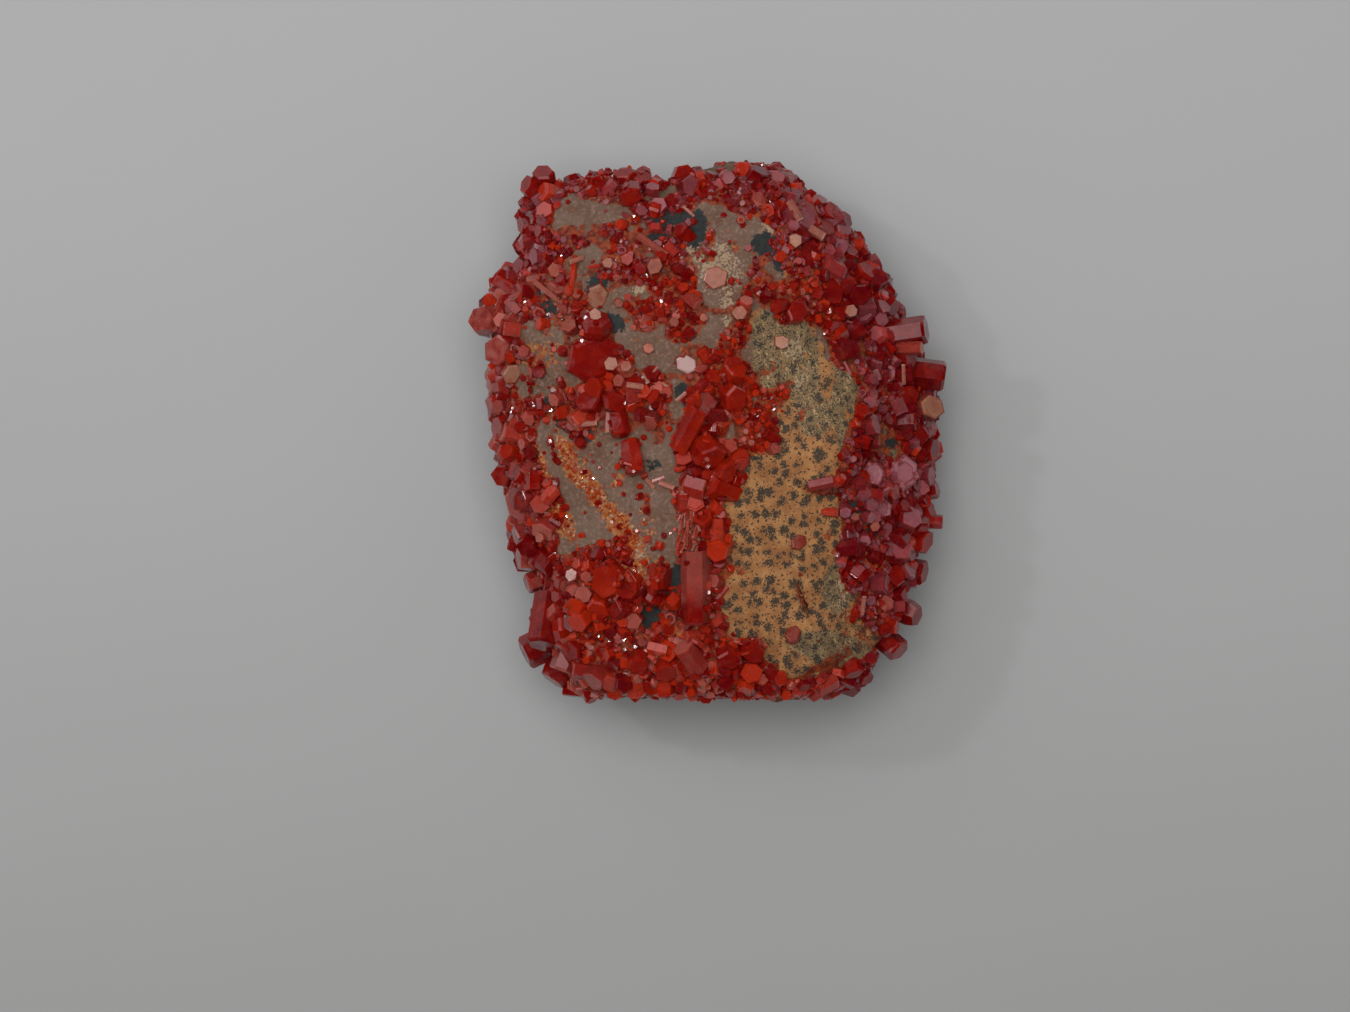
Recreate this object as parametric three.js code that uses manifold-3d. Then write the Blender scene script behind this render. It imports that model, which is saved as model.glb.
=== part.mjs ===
// Vanadinite on matrix: a hand-sized piece of iron-stained matrix rock lying on its broken back, its
// rim crusted with six-sided vanadinite crystals. Millimetres, +Z up, the crystal side facing up.
import * as THREE from "three";
import { SimplexNoise } from "three/addons/math/SimplexNoise.js";
import { mergeVertices } from "three/addons/utils/BufferGeometryUtils.js";
import Module from "manifold-3d";

const wasm = await Module();
wasm.setup();

// ---- Driving dimensions -------------------------------------------------------------------------

const WAIST_HEIGHT = 9; // where the matrix is widest
const CREST_HEIGHT = 23.5; // the ridge that runs down the front
const ROCK_DETAIL = 12; // subdivisions of the sphere that the matrix is shaped from
const ROUGHNESS = 0.6; // how far the broken sides wander
const REST_CUT = 1.6; // how much of the back's bulge the flat resting face takes away
const BREAK_BLOCK = 90; // the side of the block that takes off one break face
const SEAT_GAP = 0.3; // clearance between a crystal's root and the matrix
const SHOWING = 0.7; // how much of a crystal stands out of the matrix
const CHAMFER = 0.16; // a crystal's bevelled edge, as a share of its radius
const SIDES = 6; // vanadinite is hexagonal

// The matrix seen from the front, anticlockwise from the right-hand side.
const RIM = [
  [21.6, 0], [21.2, 4.5], [20.2, 8.4], [18.4, 11.8], [16.9, 15], [15.2, 17.8], [12.8, 20.4],
  [10.6, 23], [8, 25], [4.6, 26.3], [1, 26.3], [-1.6, 25], [-3.4, 23.7], [-5.2, 23.7],
  [-7, 24.9], [-11.5, 25], [-15.4, 24.9], [-17, 23.4], [-17.3, 20.4], [-17.1, 17.6],
  [-18.4, 14.8], [-20.6, 12.6], [-21.2, 9.6], [-20.3, 6], [-19.8, 0.5], [-18.4, -5],
  [-17, -11], [-15.6, -17], [-15.4, -21.5], [-13.6, -24.6], [-9, -26], [0, -26.4],
  [8, -26.2], [14, -25], [18, -22.8], [19.6, -19], [20.6, -13], [21.5, -7],
];

// Flat breaks in the matrix: the way each faces (compass angle from +X, then angle above the
// horizon) and how far it is from the middle of the waist.
const BREAKS = [
  [264, 18, 26.4],
  [226, 26, 25.4],
  [182, 40, 20.8],
  [140, 34, 28.6],
  [96, 34, 25.8],
  [56, 30, 25.6],
  [352, 34, 22.6],
  [322, 28, 26.6],
  [196, -24, 18.2],
  [112, -22, 23],
  [28, -26, 20],
  [338, -20, 20.8],
  [284, -28, 23.8],
];

// ---- Small helpers ------------------------------------------------------------------------------

const RIGHT_ANGLE = Math.PI / 2;
const UP = new THREE.Vector3(0, 0, 1);
const rad = THREE.MathUtils.degToRad;
const noise = new SimplexNoise({ random: seededRandom(7) });

// A repeatable stream of numbers from 0 to 1.
function seededRandom(seed) {
  let state = seed;
  return () => {
    state = (state * 48271) % 2147483647;
    return state / 2147483647;
  };
}

// The unit vector at a compass angle from +X and an angle above the horizon.
function pointing(compass, pitch) {
  const level = Math.cos(rad(pitch));
  return new THREE.Vector3(
    level * Math.cos(rad(compass)), level * Math.sin(rad(compass)), Math.sin(rad(pitch)),
  );
}

// The lowest of several heights, with the creases between them rounded off over a millimetre or so.
function softLowest(heights, rounding = 0.4) {
  const sum = heights.reduce((total, h) => total + Math.exp(-h / rounding), 0);
  return -rounding * Math.log(sum);
}

// ---- The matrix ---------------------------------------------------------------------------------

// The distance from the middle to the rim at each angle.
function rimProfile() {
  const curve = new THREE.CatmullRomCurve3(RIM.map(([x, y]) => new THREE.Vector3(x, y, 0)), true);
  const samples = curve.getPoints(720).map((p) => [Math.atan2(p.y, p.x), Math.hypot(p.x, p.y)]);
  samples.sort((a, b) => a[0] - b[0]);
  return (angle) => {
    const next = samples.findIndex((s) => s[0] >= angle);
    if (next <= 0) return samples[0][1];
    const [a, b] = [samples[next - 1], samples[next]];
    return THREE.MathUtils.lerp(a[1], b[1], (angle - a[0]) / (b[0] - a[0]));
  };
}
const rimRadius = rimProfile();

// The front is a few worn break planes: they meet along a crest and fall away towards the rim.
function frontHeight(x, y) {
  const lowerLeft = CREST_HEIGHT + 0.19 * (x + 0.7) + 0.05 * (y + 4);
  const lowerRight = CREST_HEIGHT + 0.1 - 0.17 * (x + 0.7) + 0.03 * (y + 4);
  const upper = CREST_HEIGHT + 0.3 + 0.03 * x - 0.09 * (y - 4);
  const rightFlank = CREST_HEIGHT - 1.6 - 0.75 * (x - 12.4) - 0.12 * Math.abs(y + 4);
  return softLowest([lowerLeft, lowerRight, upper, rightFlank]);
}

// A point of the matrix's skin in a direction from its middle. Swell moves the skin outwards.
function rockPoint(direction, swell) {
  const angle = Math.atan2(direction.y, direction.x);
  const lift = Math.abs(direction.z);
  const spread = Math.sqrt(1 - lift * lift) ** 0.86;
  const reach = rimRadius(angle) * spread;
  const point = new THREE.Vector3(reach * Math.cos(angle), reach * Math.sin(angle), 0);
  const rough = noise.noise3d(direction.x * 2.3, direction.y * 2.3, direction.z * 2.3);
  const grain = noise.noise3d(direction.x * 5.5 + 9, direction.y * 5.5, direction.z * 5.5);
  if (direction.z >= 0) {
    point.z = WAIST_HEIGHT + (frontHeight(point.x, point.y) - WAIST_HEIGHT) * lift ** 0.4;
  } else {
    point.z = WAIST_HEIGHT - (WAIST_HEIGHT + REST_CUT) * lift ** 0.55;
  }
  const outward = new THREE.Vector3(direction.x, direction.y, direction.z * 0.5);
  const steepness = direction.z >= 0 ? 1 - 0.75 * lift : 1;
  point.addScaledVector(outward, (rough + 0.45 * grain) * ROUGHNESS * steepness);
  point.addScaledVector(direction, swell);
  point.z = Math.max(point.z, -swell);
  return point;
}

function rockGeometry(swell = 0) {
  const geometry = new THREE.IcosahedronGeometry(1, ROCK_DETAIL);
  const places = geometry.getAttribute("position");
  for (let i = 0; i < places.count; i++) {
    const direction = new THREE.Vector3().fromBufferAttribute(places, i).normalize();
    places.setXYZ(i, ...rockPoint(direction, swell).toArray());
  }
  return geometry;
}

// ---- Crystals -----------------------------------------------------------------------------------

// Half sections of one crystal of unit radius, from the root's middle round to the tip's middle.
const HABITS = {
  prism: (length) => [[0, 0], [1, 0], [1, length - CHAMFER], [1 - CHAMFER, length], [0, length]],
  plate: (length) => [
    [0, 0], [0.9, 0], [1, length / 2], [1 - CHAMFER / 2, length - CHAMFER / 2],
    [1 - 1.5 * CHAMFER, length], [0, length],
  ],
  barrel: (length) => [
    [0, 0], [0.78, 0], [1, length * 0.35], [1, length * 0.7], [0.8, length], [0, length],
  ],
  hopper: (length) => [
    [0, 0], [1, 0], [1, length - CHAMFER], [1 - CHAMFER, length], [0.6, length],
    [0.42, length - 0.3], [0, length - 0.3],
  ],
};

// A crystal's own shape: its root at the origin, its tip up +Z, some sides better grown than others.
function crystalGeometry({ habit, radius, length }, random) {
  const section = HABITS[habit](length / radius).map(([r, h]) => new THREE.Vector2(r, h));
  const geometry = new THREE.LatheGeometry(section, SIDES);
  geometry.rotateX(RIGHT_ANGLE);
  const uneven = 0.88 + 0.24 * random();
  geometry.scale(radius * uneven, (radius * 0.98) / uneven, radius);
  geometry.rotateZ(random() * Math.PI);
  return geometry;
}

// Each row is a crystal: name, where its tip stands as seen from the front (x, y), radius, length,
// the way it points (compass angle from +X, then angle above the horizon), habit, and how high its
// tip is at least. A tip with no height of its own just rises from the matrix below it.
const CRYSTALS = [
  // top edge, left to right
  ["top_corner_outer", -17.7, 24.3, 1.15, 2.4, 150, 36, "barrel", 17.5],
  ["top_corner", -16, 25.6, 1.2, 2.5, 100, 40, "prism", 17],
  ["top_edge_ring", -10.6, 24.4, 0.95, 1.7, 70, 62, "hopper", 18],
  ["top_knob_left", -8, 25.5, 1.15, 2.5, 100, 38, "plate", 17],
  ["top_knob_right", -6.2, 25.2, 1.1, 2.5, 60, 42, "prism", 16.5],
  ["top_knob_front", -7.3, 22.7, 1.15, 2, 280, 62, "prism"],
  ["top_rosette", -0.1, 23.8, 1.1, 1.8, 80, 62, "hopper"],
  ["top_right_plate", 6.9, 23.8, 1.1, 2.2, 60, 45, "plate", 16.9],
  ["top_right_low", 5.3, 22.6, 0.9, 1.6, 40, 60, "prism"],
  // upper right shoulder
  ["shoulder_prism", 10, 21.9, 1.35, 2.8, 45, 38, "prism", 17.2],
  ["shoulder_bar", 10.7, 19.9, 0.8, 3.2, 330, 18, "prism", 17.8],
  ["shoulder_plate", 12, 20.1, 1.2, 2.4, 40, 42, "plate", 15.6],
  ["shoulder_bead", 14.5, 17.9, 1, 2.2, 50, 36, "barrel", 14.4],
  ["shoulder_deep", 10.4, 17.4, 1.4, 2, 30, 62, "prism"],
  ["shoulder_pale", 8.2, 18.5, 0.9, 1.2, 200, 72, "plate"],
  ["round_disc", 12.3, 13.6, 1.6, 1.8, 20, 74, "barrel"],
  ["flank_knob_upper", 16.1, 16, 1.2, 2.6, 40, 35, "prism", 14],
  ["flank_knob_lower", 17.7, 13.5, 1.05, 2.6, 20, 35, "barrel", 14],
  ["inner_pair_left", 6.8, 11.9, 0.8, 1.4, 200, 56, "prism"],
  ["inner_pair_right", 9, 11.6, 1.25, 1.7, 40, 68, "plate"],
  // right-hand rim, downwards
  ["rim_hexagon_top", 21.4, 10.2, 1.45, 3.9, 10, 20, "prism", 13.2],
  ["rim_bar", 20.4, 7.2, 1.3, 3, 350, 40, "plate", 14.8],
  ["rim_hexagon_far", 23.9, 5.5, 1.6, 4.3, 352, 2, "prism", 12],
  ["rim_hexagon_face", 22.6, 2.4, 1.45, 3.7, 0, 62, "plate", 14.4],
  ["rim_deep", 20.2, 3.6, 1.3, 2.6, 20, 52, "prism", 15.2],
  ["flank_disc", 17.8, 5.6, 1.25, 1.7, 10, 70, "hopper"],
  ["rim_cherry", 22.9, -1.8, 1.35, 3.7, 0, 30, "barrel", 12.2],
  ["skeletal_large", 19.7, -4.1, 1.7, 2.2, 10, 72, "hopper"],
  ["skeletal_left", 16.4, -4.2, 1.25, 1.8, 200, 78, "hopper"],
  ["skeletal_low", 17.3, -7.6, 1.15, 1.7, 300, 76, "hopper"],
  ["rim_spur", 23.2, -5.7, 1.05, 3.4, 8, 18, "prism", 11.4],
  ["rim_pointer", 23.7, -9, 0.8, 4.2, 358, 8, "prism", 12],
  ["rim_middle", 22.1, -11, 1.35, 3.4, 350, 36, "plate", 13.2],
  ["rim_low_upper", 21.9, -14.1, 1.2, 3.1, 350, 26, "prism", 12],
  ["rim_low_inner", 19, -14.2, 1.1, 2, 30, 60, "prism"],
  ["rim_low_lower", 21.1, -18.4, 1.35, 2.9, 335, 30, "barrel", 12.5],
  ["flank_pale_disc", 17.8, -16.9, 1.05, 1.4, 20, 70, "plate"],
  ["bottom_right_corner", 19.4, -21.9, 1.35, 3.4, 320, 26, "prism", 12.8],
  ["bottom_right_edge", 14.7, -24.1, 1.05, 2.8, 290, 32, "plate", 13],
  // the smooth ochre face
  ["ochre_disc_upper", 9.1, -10.9, 0.85, 0.9, 40, 78, "plate"],
  ["ochre_disc_lower", 8.5, -19.8, 0.9, 1, 100, 62, "plate"],
  ["ochre_lip_pair", 11.4, -5.4, 1.15, 1.2, 250, 72, "barrel"],
  // the crest and the middle
  ["long_prism", -0.9, -18.9, 1.55, 7.2, 271, -4, "prism", 22.6],
  ["crest_edge_disc", -5.6, -14.5, 1.7, 1, 176, 14, "barrel"],
  ["crest_edge_twin", -3.7, -14.5, 1.5, 1, 350, 24, "plate"],
  ["crest_deep", 0.6, -2.9, 1.5, 2.6, 300, 48, "prism"],
  ["crest_slant_prism", -0.5, 2, 1.2, 4.6, 62, 14, "prism"],
  ["crest_low", 2.2, -4.3, 1.2, 2.2, 330, 50, "plate"],
  ["crest_right", 3, 2.8, 1.4, 2.2, 330, 58, "prism"],
  ["crest_cherry", 2.9, 6.2, 1.3, 2, 60, 52, "prism"],
  ["bright_hexagon", -1.9, 6.3, 1.1, 1.2, 300, 80, "plate"],
  ["bright_neighbour", 0.9, 5.2, 0.9, 1.3, 20, 58, "plate"],
  ["big_plate", -10.8, 6.9, 2.75, 1.5, 315, 79, "plate"],
  ["big_plate_back", -10.5, 10.7, 1.6, 2.1, 85, 42, "barrel"],
  ["pale_hexagon", -10.6, 12.9, 1.3, 1.1, 240, 76, "plate"],
  ["pink_hexagon", -5.7, 10.4, 1, 1, 30, 78, "plate"],
  ["plate_follower", -7.6, 5.8, 1, 1.4, 330, 60, "prism"],
  ["lower_disc", -8.6, 2.6, 1.3, 1.7, 330, 64, "barrel"],
  ["lower_disc_left", -11.6, 2.9, 1.3, 1.7, 150, 60, "prism"],
  ["hanging_prism", -8.2, -0.6, 0.9, 3, 280, 22, "prism"],
  ["drop_prism", -6.8, -4.2, 1.1, 3.4, 282, 18, "barrel"],
  ["lower_boss", -9.9, -14.8, 2, 2.4, 210, 62, "barrel"],
  ["lower_boss_foot", -10.6, -17.8, 1.3, 2.2, 250, 52, "prism"],
  ["bottom_disc", 4.7, -21.9, 1.35, 2, 290, 58, "barrel"],
  ["bottom_disc_right", 2.4, -22.6, 1.3, 2, 280, 52, "prism"],
  // left-hand rim, downwards
  ["left_disc_upper", -22.3, 11.1, 1.8, 3.1, 172, 52, "barrel", 15.1],
  ["left_disc_lower", -20.5, 7.9, 1.85, 2.6, 205, 58, "plate", 16.6],
  ["left_tile", -19, 5.5, 1.1, 1.6, 300, 72, "plate", 17],
  ["left_glint", -21.4, 4.9, 1.1, 2.8, 180, 30, "prism", 13.6],
  ["left_knob", -20.4, 3, 1.3, 2.5, 190, 42, "prism", 14.8],
  ["left_block", -20.5, -2.4, 1.35, 3.6, 195, 12, "prism", 12.5],
  ["left_amber", -18.9, -7.2, 2, 3.8, 188, 36, "plate", 14],
  ["left_shelf", -18.6, -12.6, 1.65, 4.4, 184, 14, "barrel", 12.6],
  ["left_bead", -17.8, -15.2, 1.15, 3.1, 200, 15, "prism", 12],
  ["corner_hood", -16.3, -18.1, 1.75, 3.4, 125, 40, "barrel", 15.6],
  ["corner_prism", -16.1, -21.2, 1.8, 5.2, 262, 20, "prism", 16.6],
  ["corner_wing", -18, -22.1, 1.6, 4, 205, 12, "prism", 12.6],
  ["corner_tail", -15.2, -24.8, 1.5, 3.8, 235, 14, "barrel", 13],
  ["corner_tip", -14.1, -26.6, 0.85, 3.4, 250, 6, "prism", 11],
];

const byRow = ([name, x, y, radius, length, compass, pitch, habit, height]) => ({
  name, x, y, radius, length, compass, pitch, habit, height,
});

// ---- Solids -------------------------------------------------------------------------------------

function solidOf(geometry) {
  const bare = geometry.clone();
  bare.deleteAttribute("normal");
  bare.deleteAttribute("uv");
  const merged = mergeVertices(bare, 1e-4);
  const vertProperties = new Float32Array(merged.getAttribute("position").array);
  const triVerts = new Uint32Array(merged.index.array);
  return new wasm.Manifold(new wasm.Mesh({ numProp: 3, vertProperties, triVerts }));
}

function geometryOf(solid) {
  const mesh = solid.getMesh();
  return new THREE.BufferGeometry()
    .setAttribute("position", new THREE.BufferAttribute(new Float32Array(mesh.vertProperties), 3))
    .setIndex(new THREE.BufferAttribute(new Uint32Array(mesh.triVerts), 1));
}

// The matrix with its breaks, or a copy of it whose whole skin is moved outwards by swell.
function matrixSolid(swell = 0) {
  let solid = solidOf(rockGeometry(swell));
  for (const [compass, pitch, distance] of BREAKS) {
    const facing = pointing(compass, pitch);
    const block = new THREE.BoxGeometry(BREAK_BLOCK, BREAK_BLOCK, BREAK_BLOCK);
    block.applyQuaternion(new THREE.Quaternion().setFromUnitVectors(UP, facing));
    block.translate(0, 0, WAIST_HEIGHT);
    block.translate(...facing.multiplyScalar(distance + swell + BREAK_BLOCK / 2).toArray());
    solid = solid.subtract(solidOf(block));
  }
  return solid;
}

const matrix = matrixSolid();
const swollenMatrix = matrixSolid(SEAT_GAP);
const rock = new THREE.Mesh(geometryOf(matrix));

// The height of the matrix under a point, or of its waist outside the rim.
function surfaceHeight(x, y) {
  const down = new THREE.Raycaster(new THREE.Vector3(x, y, 99), new THREE.Vector3(0, 0, -1));
  const hit = down.intersectObject(rock)[0];
  return hit ? hit.point.z : WAIST_HEIGHT;
}

// Turns a crystal to the way it points and sets its tip in place.
function placedCrystal(crystal, index) {
  const geometry = crystalGeometry(crystal, seededRandom(1000 + 37 * index));
  const axis = pointing(crystal.compass, crystal.pitch);
  geometry.applyQuaternion(new THREE.Quaternion().setFromUnitVectors(UP, axis));
  const rise = crystal.length * axis.z + crystal.radius * Math.sqrt(1 - axis.z ** 2);
  const proud = surfaceHeight(crystal.x, crystal.y) + SHOWING * rise;
  const height = Math.max(proud, crystal.height ?? 0);
  const tip = new THREE.Vector3(crystal.x, crystal.y, height);
  geometry.translate(...tip.addScaledVector(axis, -crystal.length).toArray());
  return solidOf(geometry);
}

// Crystals that run into each other have grown together, so they become one solid.
function grownTogether(crystals) {
  const clusters = [];
  for (const crystal of crystals) {
    const touching = clusters.filter((c) => c.solid.intersect(crystal.solid).volume() > 0);
    for (const other of touching) {
      crystal.solid = other.solid.add(crystal.solid);
      crystal.name = other.name;
      clusters.splice(clusters.indexOf(other), 1);
    }
    clusters.push(crystal);
  }
  return clusters;
}

// What is left of a cluster outside the matrix, as the one piece that shows.
function trimmed(solid) {
  const bodies = solid.subtract(swollenMatrix).decompose();
  return bodies.reduce((best, body) => (body.volume() > best.volume() ? body : best));
}

// ---- The specimen -------------------------------------------------------------------------------

const matrixMaterial = new THREE.MeshStandardMaterial({ color: 0x6f5546, roughness: 0.9 });
const vanadiniteMaterial = new THREE.MeshStandardMaterial({ color: 0x8e1410, roughness: 0.25 });

function namedMesh(name, geometry, material) {
  geometry.computeBoundingBox();
  const middle = geometry.boundingBox.getCenter(new THREE.Vector3());
  geometry.translate(...middle.clone().negate().toArray());
  geometry.computeVertexNormals();
  const mesh = new THREE.Mesh(geometry, material);
  mesh.name = name;
  mesh.position.copy(middle);
  return mesh;
}

const specimen = new THREE.Group();
specimen.add(namedMesh("matrix", geometryOf(matrix), matrixMaterial));

const seeds = CRYSTALS.map(byRow).map((c, i) => ({ name: c.name, solid: placedCrystal(c, i) }));
for (const { name, solid } of grownTogether(seeds)) {
  const geometry = geometryOf(trimmed(solid));
  specimen.add(namedMesh(name, geometry, vanadiniteMaterial));
}

// The frame's origin is on the resting face, under the middle of the whole piece.
const bounds = new THREE.Box3().setFromObject(specimen);
const middle = bounds.getCenter(new THREE.Vector3());
specimen.position.set(-middle.x, -middle.y, -bounds.min.z);

const part = new THREE.Group();
part.add(specimen);
export default part;
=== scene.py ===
# Vanadinite on matrix: the looks. Metres, +Z up, the crystal side facing up.
import math

import bpy
import numpy as np
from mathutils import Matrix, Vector
from mathutils.bvhtree import BVHTree


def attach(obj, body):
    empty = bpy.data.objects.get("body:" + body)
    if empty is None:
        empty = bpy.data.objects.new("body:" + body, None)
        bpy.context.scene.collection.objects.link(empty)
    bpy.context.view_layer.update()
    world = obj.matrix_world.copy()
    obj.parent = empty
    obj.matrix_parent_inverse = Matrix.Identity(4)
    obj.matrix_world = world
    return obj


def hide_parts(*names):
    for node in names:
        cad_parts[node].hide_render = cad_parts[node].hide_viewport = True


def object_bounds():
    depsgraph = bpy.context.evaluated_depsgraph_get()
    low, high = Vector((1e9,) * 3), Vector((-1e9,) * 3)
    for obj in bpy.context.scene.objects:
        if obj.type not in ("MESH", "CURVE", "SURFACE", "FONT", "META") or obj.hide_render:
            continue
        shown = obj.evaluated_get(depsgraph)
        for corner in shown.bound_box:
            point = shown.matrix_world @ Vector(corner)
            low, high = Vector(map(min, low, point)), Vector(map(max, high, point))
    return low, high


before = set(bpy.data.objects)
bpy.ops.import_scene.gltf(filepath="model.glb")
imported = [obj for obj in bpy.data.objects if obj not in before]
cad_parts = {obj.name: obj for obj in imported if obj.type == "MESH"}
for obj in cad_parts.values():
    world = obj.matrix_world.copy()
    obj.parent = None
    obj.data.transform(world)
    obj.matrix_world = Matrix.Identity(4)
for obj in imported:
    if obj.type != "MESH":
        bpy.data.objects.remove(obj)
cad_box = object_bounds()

MM = 0.001
SIDES = 6

# The front is described in plan millimetres, from the middle of the rock's outline.
PLAN_MIDDLE = np.array([-0.27, -0.14, 0.0])

CAMERA_HEIGHT = 450  # millimetres
WINDOW = (-0.5, 0.25, 0.65)  # where the small bright light hangs, in metres

ROCK_VOXEL = 0.33  # millimetres
ROCK_SWELL = 0.34  # brings the rock out to the roots of the crystals
SMOOTHING = 5  # rounds that take the edges off the CAD rock's facets
BACK_ZONE = 0.25  # what lies lower than this is the flat back


# ---- Numbers ----

def smoothstep(low, high, value):
    t = np.clip((value - low) / (high - low), 0, 1)
    return t * t * (3 - 2 * t)


def lattice_value(cells, seed):
    """A repeatable number from 0 to 1 at each whole-number lattice point."""
    x, y, z = cells.astype(np.int64).T
    mixed = (x * 73856093) ^ (y * 19349663) ^ (z * 83492791) ^ (seed * 2654435761)
    mixed = (mixed ^ (mixed >> 13)) * 1274126177
    mixed = mixed ^ (mixed >> 16)
    return (mixed & 0xFFFF) / 0xFFFF


def soft_noise(points, size, seed):
    """Noise from -1 to 1 with lumps about size across."""
    scaled = points / size
    cell = np.floor(scaled)
    t = scaled - cell
    t = t * t * (3 - 2 * t)
    total = np.zeros(len(points))
    for corner in np.ndindex(2, 2, 2):
        share = np.prod(np.where(corner, t, 1 - t), axis=1)
        total += share * lattice_value(cell + corner, seed)
    return 2 * total - 1


def layered_noise(points, size, seed, layers=3):
    """Noise with finer and fainter layers on top of each other."""
    return sum(soft_noise(points, size / 2**i, seed + i) / 2**i for i in range(layers))


def unit(vectors):
    return vectors / np.linalg.norm(vectors, axis=-1, keepdims=True)


# ---- Places on the front ----

def blob(plan, x, y, rx, ry, turn=0, edge=0.3):
    """1 inside an ellipse on the front, fading to 0 across its edge."""
    c, s = math.cos(math.radians(turn)), math.sin(math.radians(turn))
    dx, dy = plan[:, 0] - x, plan[:, 1] - y
    reach = np.hypot((dx * c + dy * s) / rx, (dy * c - dx * s) / ry)
    return smoothstep(1 + edge, 1 - edge, reach)


def blobs(plan, places, edge=0.3):
    """The strongest of several ellipses; each place is x, y, rx, ry, turn, strength."""
    best = np.zeros(len(plan))
    for x, y, rx, ry, turn, strength in places:
        best = np.maximum(best, strength * blob(plan, x, y, rx, ry, turn, edge))
    return best


# How thickly crystals cover the front: x, y, half width, half height, turn, cover.
COVERED = [
    (-6, 13, 11.5, 10.5, 0, 0.44), (-9, 3, 6.5, 5, 0, 0.5), (3, 12, 5, 9, 0, 0.35), (6.5, 3, 3, 6, 0, 0.4),
    (-15.5, 23.5, 4.5, 2, 0, 0.9), (-7.5, 24.2, 4, 2.2, 0, 0.9), (-17, 19.5, 2.2, 4.5, 5, 0.95),
    (-19.5, 10, 3.4, 5, 0, 1), (-18.8, 1, 2.6, 6.5, -4, 0.95), (-16.6, -9.5, 2.4, 7, -8, 0.95),
    (-14, -19, 5.2, 6.5, 0, 1), (-7.5, -18.5, 6.5, 4.2, 0, 0.9), (-3, -22.5, 8, 3.2, 0, 0.95),
    (10, -24.6, 9, 1.6, 6, 0.8), (18.2, -20.5, 2.6, 4.2, 20, 0.9), (19.4, -13, 4.2, 8, 0, 1),
    (19.6, 2, 4.4, 11.5, 4, 1), (15.4, 13.5, 4, 7.5, 30, 0.95), (10.5, 19.5, 4.4, 4.4, 40, 0.95),
    (4.5, 22.8, 6, 2.2, -10, 0.95), (-0.6, -2.5, 2.9, 6, 0, 1), (0.3, -14, 1.6, 8.5, 0, 0.95),
    (-8, 4.2, 5, 4.4, 0, 0.72), (1.8, 4.8, 2.4, 4.5, 8, 0.8), (-3.2, 12.5, 3.4, 2.6, 20, 0.62),
    (-11.5, 9.5, 3.4, 2.6, -30, 0.6), (-8.5, 15.5, 4, 2.2, 25, 0.55), (-3, 17.5, 3, 2, 0, 0.5),
    (-10.5, 19, 4.5, 1.2, -20, 0.45), (-5.6, 21.3, 3.2, 1.2, 0, 0.6), (9.6, 12.6, 3.4, 2.4, 0, 0.85),
    (4.8, 1, 2.6, 4.6, 0, 0.55), (14.6, -9, 1.6, 5, 0, 0.8), (-11, -13, 5, 2.2, 15, 0.75),
    (14, 6, 1.7, 6, 8, 0.55), (-13.6, 13.6, 4, 2, 20, 0.5), (3.6, 10.6, 0.9, 2.6, 5, 0.9),
    (15.4, -14.5, 1.3, 4, 0, 0.7), (3.8, -22.4, 2.6, 1.6, 0, 0.9), (-14.6, 18.4, 3.6, 1.1, -12, 0.75),
    (2.8, -5.2, 2, 3.4, 20, 0.9), (2, -11, 0.9, 7, 0, 0.9), (14.3, -7.6, 1.9, 7, 0, 0.85),
    (9, -24.2, 6, 1.7, 4, 0.85), (17, -21.6, 3.6, 2.6, 20, 0.85),
]

# Windows of bare rock.
BARE = [
    (-14, 22, 2.1, 0.9, 0, 0.9), (-9.4, 21.6, 2, 1.3, 0, 0.9), (1.2, 20.9, 3, 1.3, 0, 0.9),
    (-16.9, 9.4, 1.5, 1.7, 20, 0.9), (-17.2, 4.8, 1.2, 1.8, 0, 0.85), (-5.6, 7.8, 2.6, 1.5, -10, 0.9),
    (-14.6, -2.2, 1.5, 2.6, -20, 1), (-9.8, -3.2, 2.4, 2, 0, 1), (-5.4, -8.2, 2.2, 4.4, -12, 1),
    (-12.2, -7.2, 1.6, 2, -30, 1), (-5.2, -17.6, 1.5, 1.6, 0, 0.9), (4.9, 8.2, 1.2, 2.6, 0, 0.8),
    (1.6, 15.4, 2.8, 3, 30, 0.95), (-11.8, 17.2, 1.6, 0.9, 0, 0.7), (5.2, 18.8, 2.4, 1.7, -20, 0.95),
    (-1.4, 20, 2, 1.2, 0, 0.7), (2.2, 26.2, 4.2, 1, 0, 0.7), (-4.2, 24, 1.5, 1.2, 0, 0.9),
    (-3.6, 20.5, 2.2, 1.1, 8, 0.9), (-1, 19.2, 1.1, 1.7, -8, 0.9), (-9, 10.4, 1.1, 0.8, -30, 0.8),
    (-8.3, 13.2, 1, 0.8, 30, 0.7), (-14.8, 12.4, 1, 0.8, 0, 0.5), (0.9, 9.6, 1, 1.6, 0, 0.7),
]

# Where only the few large crystals of the lower left corner and of the rim grow.
LARGE_ONLY = [(-17.4, -21.2, 2.9, 5.2, 8, 1), (22.4, 9.6, 2.4, 1.9, 0, 1), (-21.6, 8.2, 2, 2.2, 0, 1)]

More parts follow.
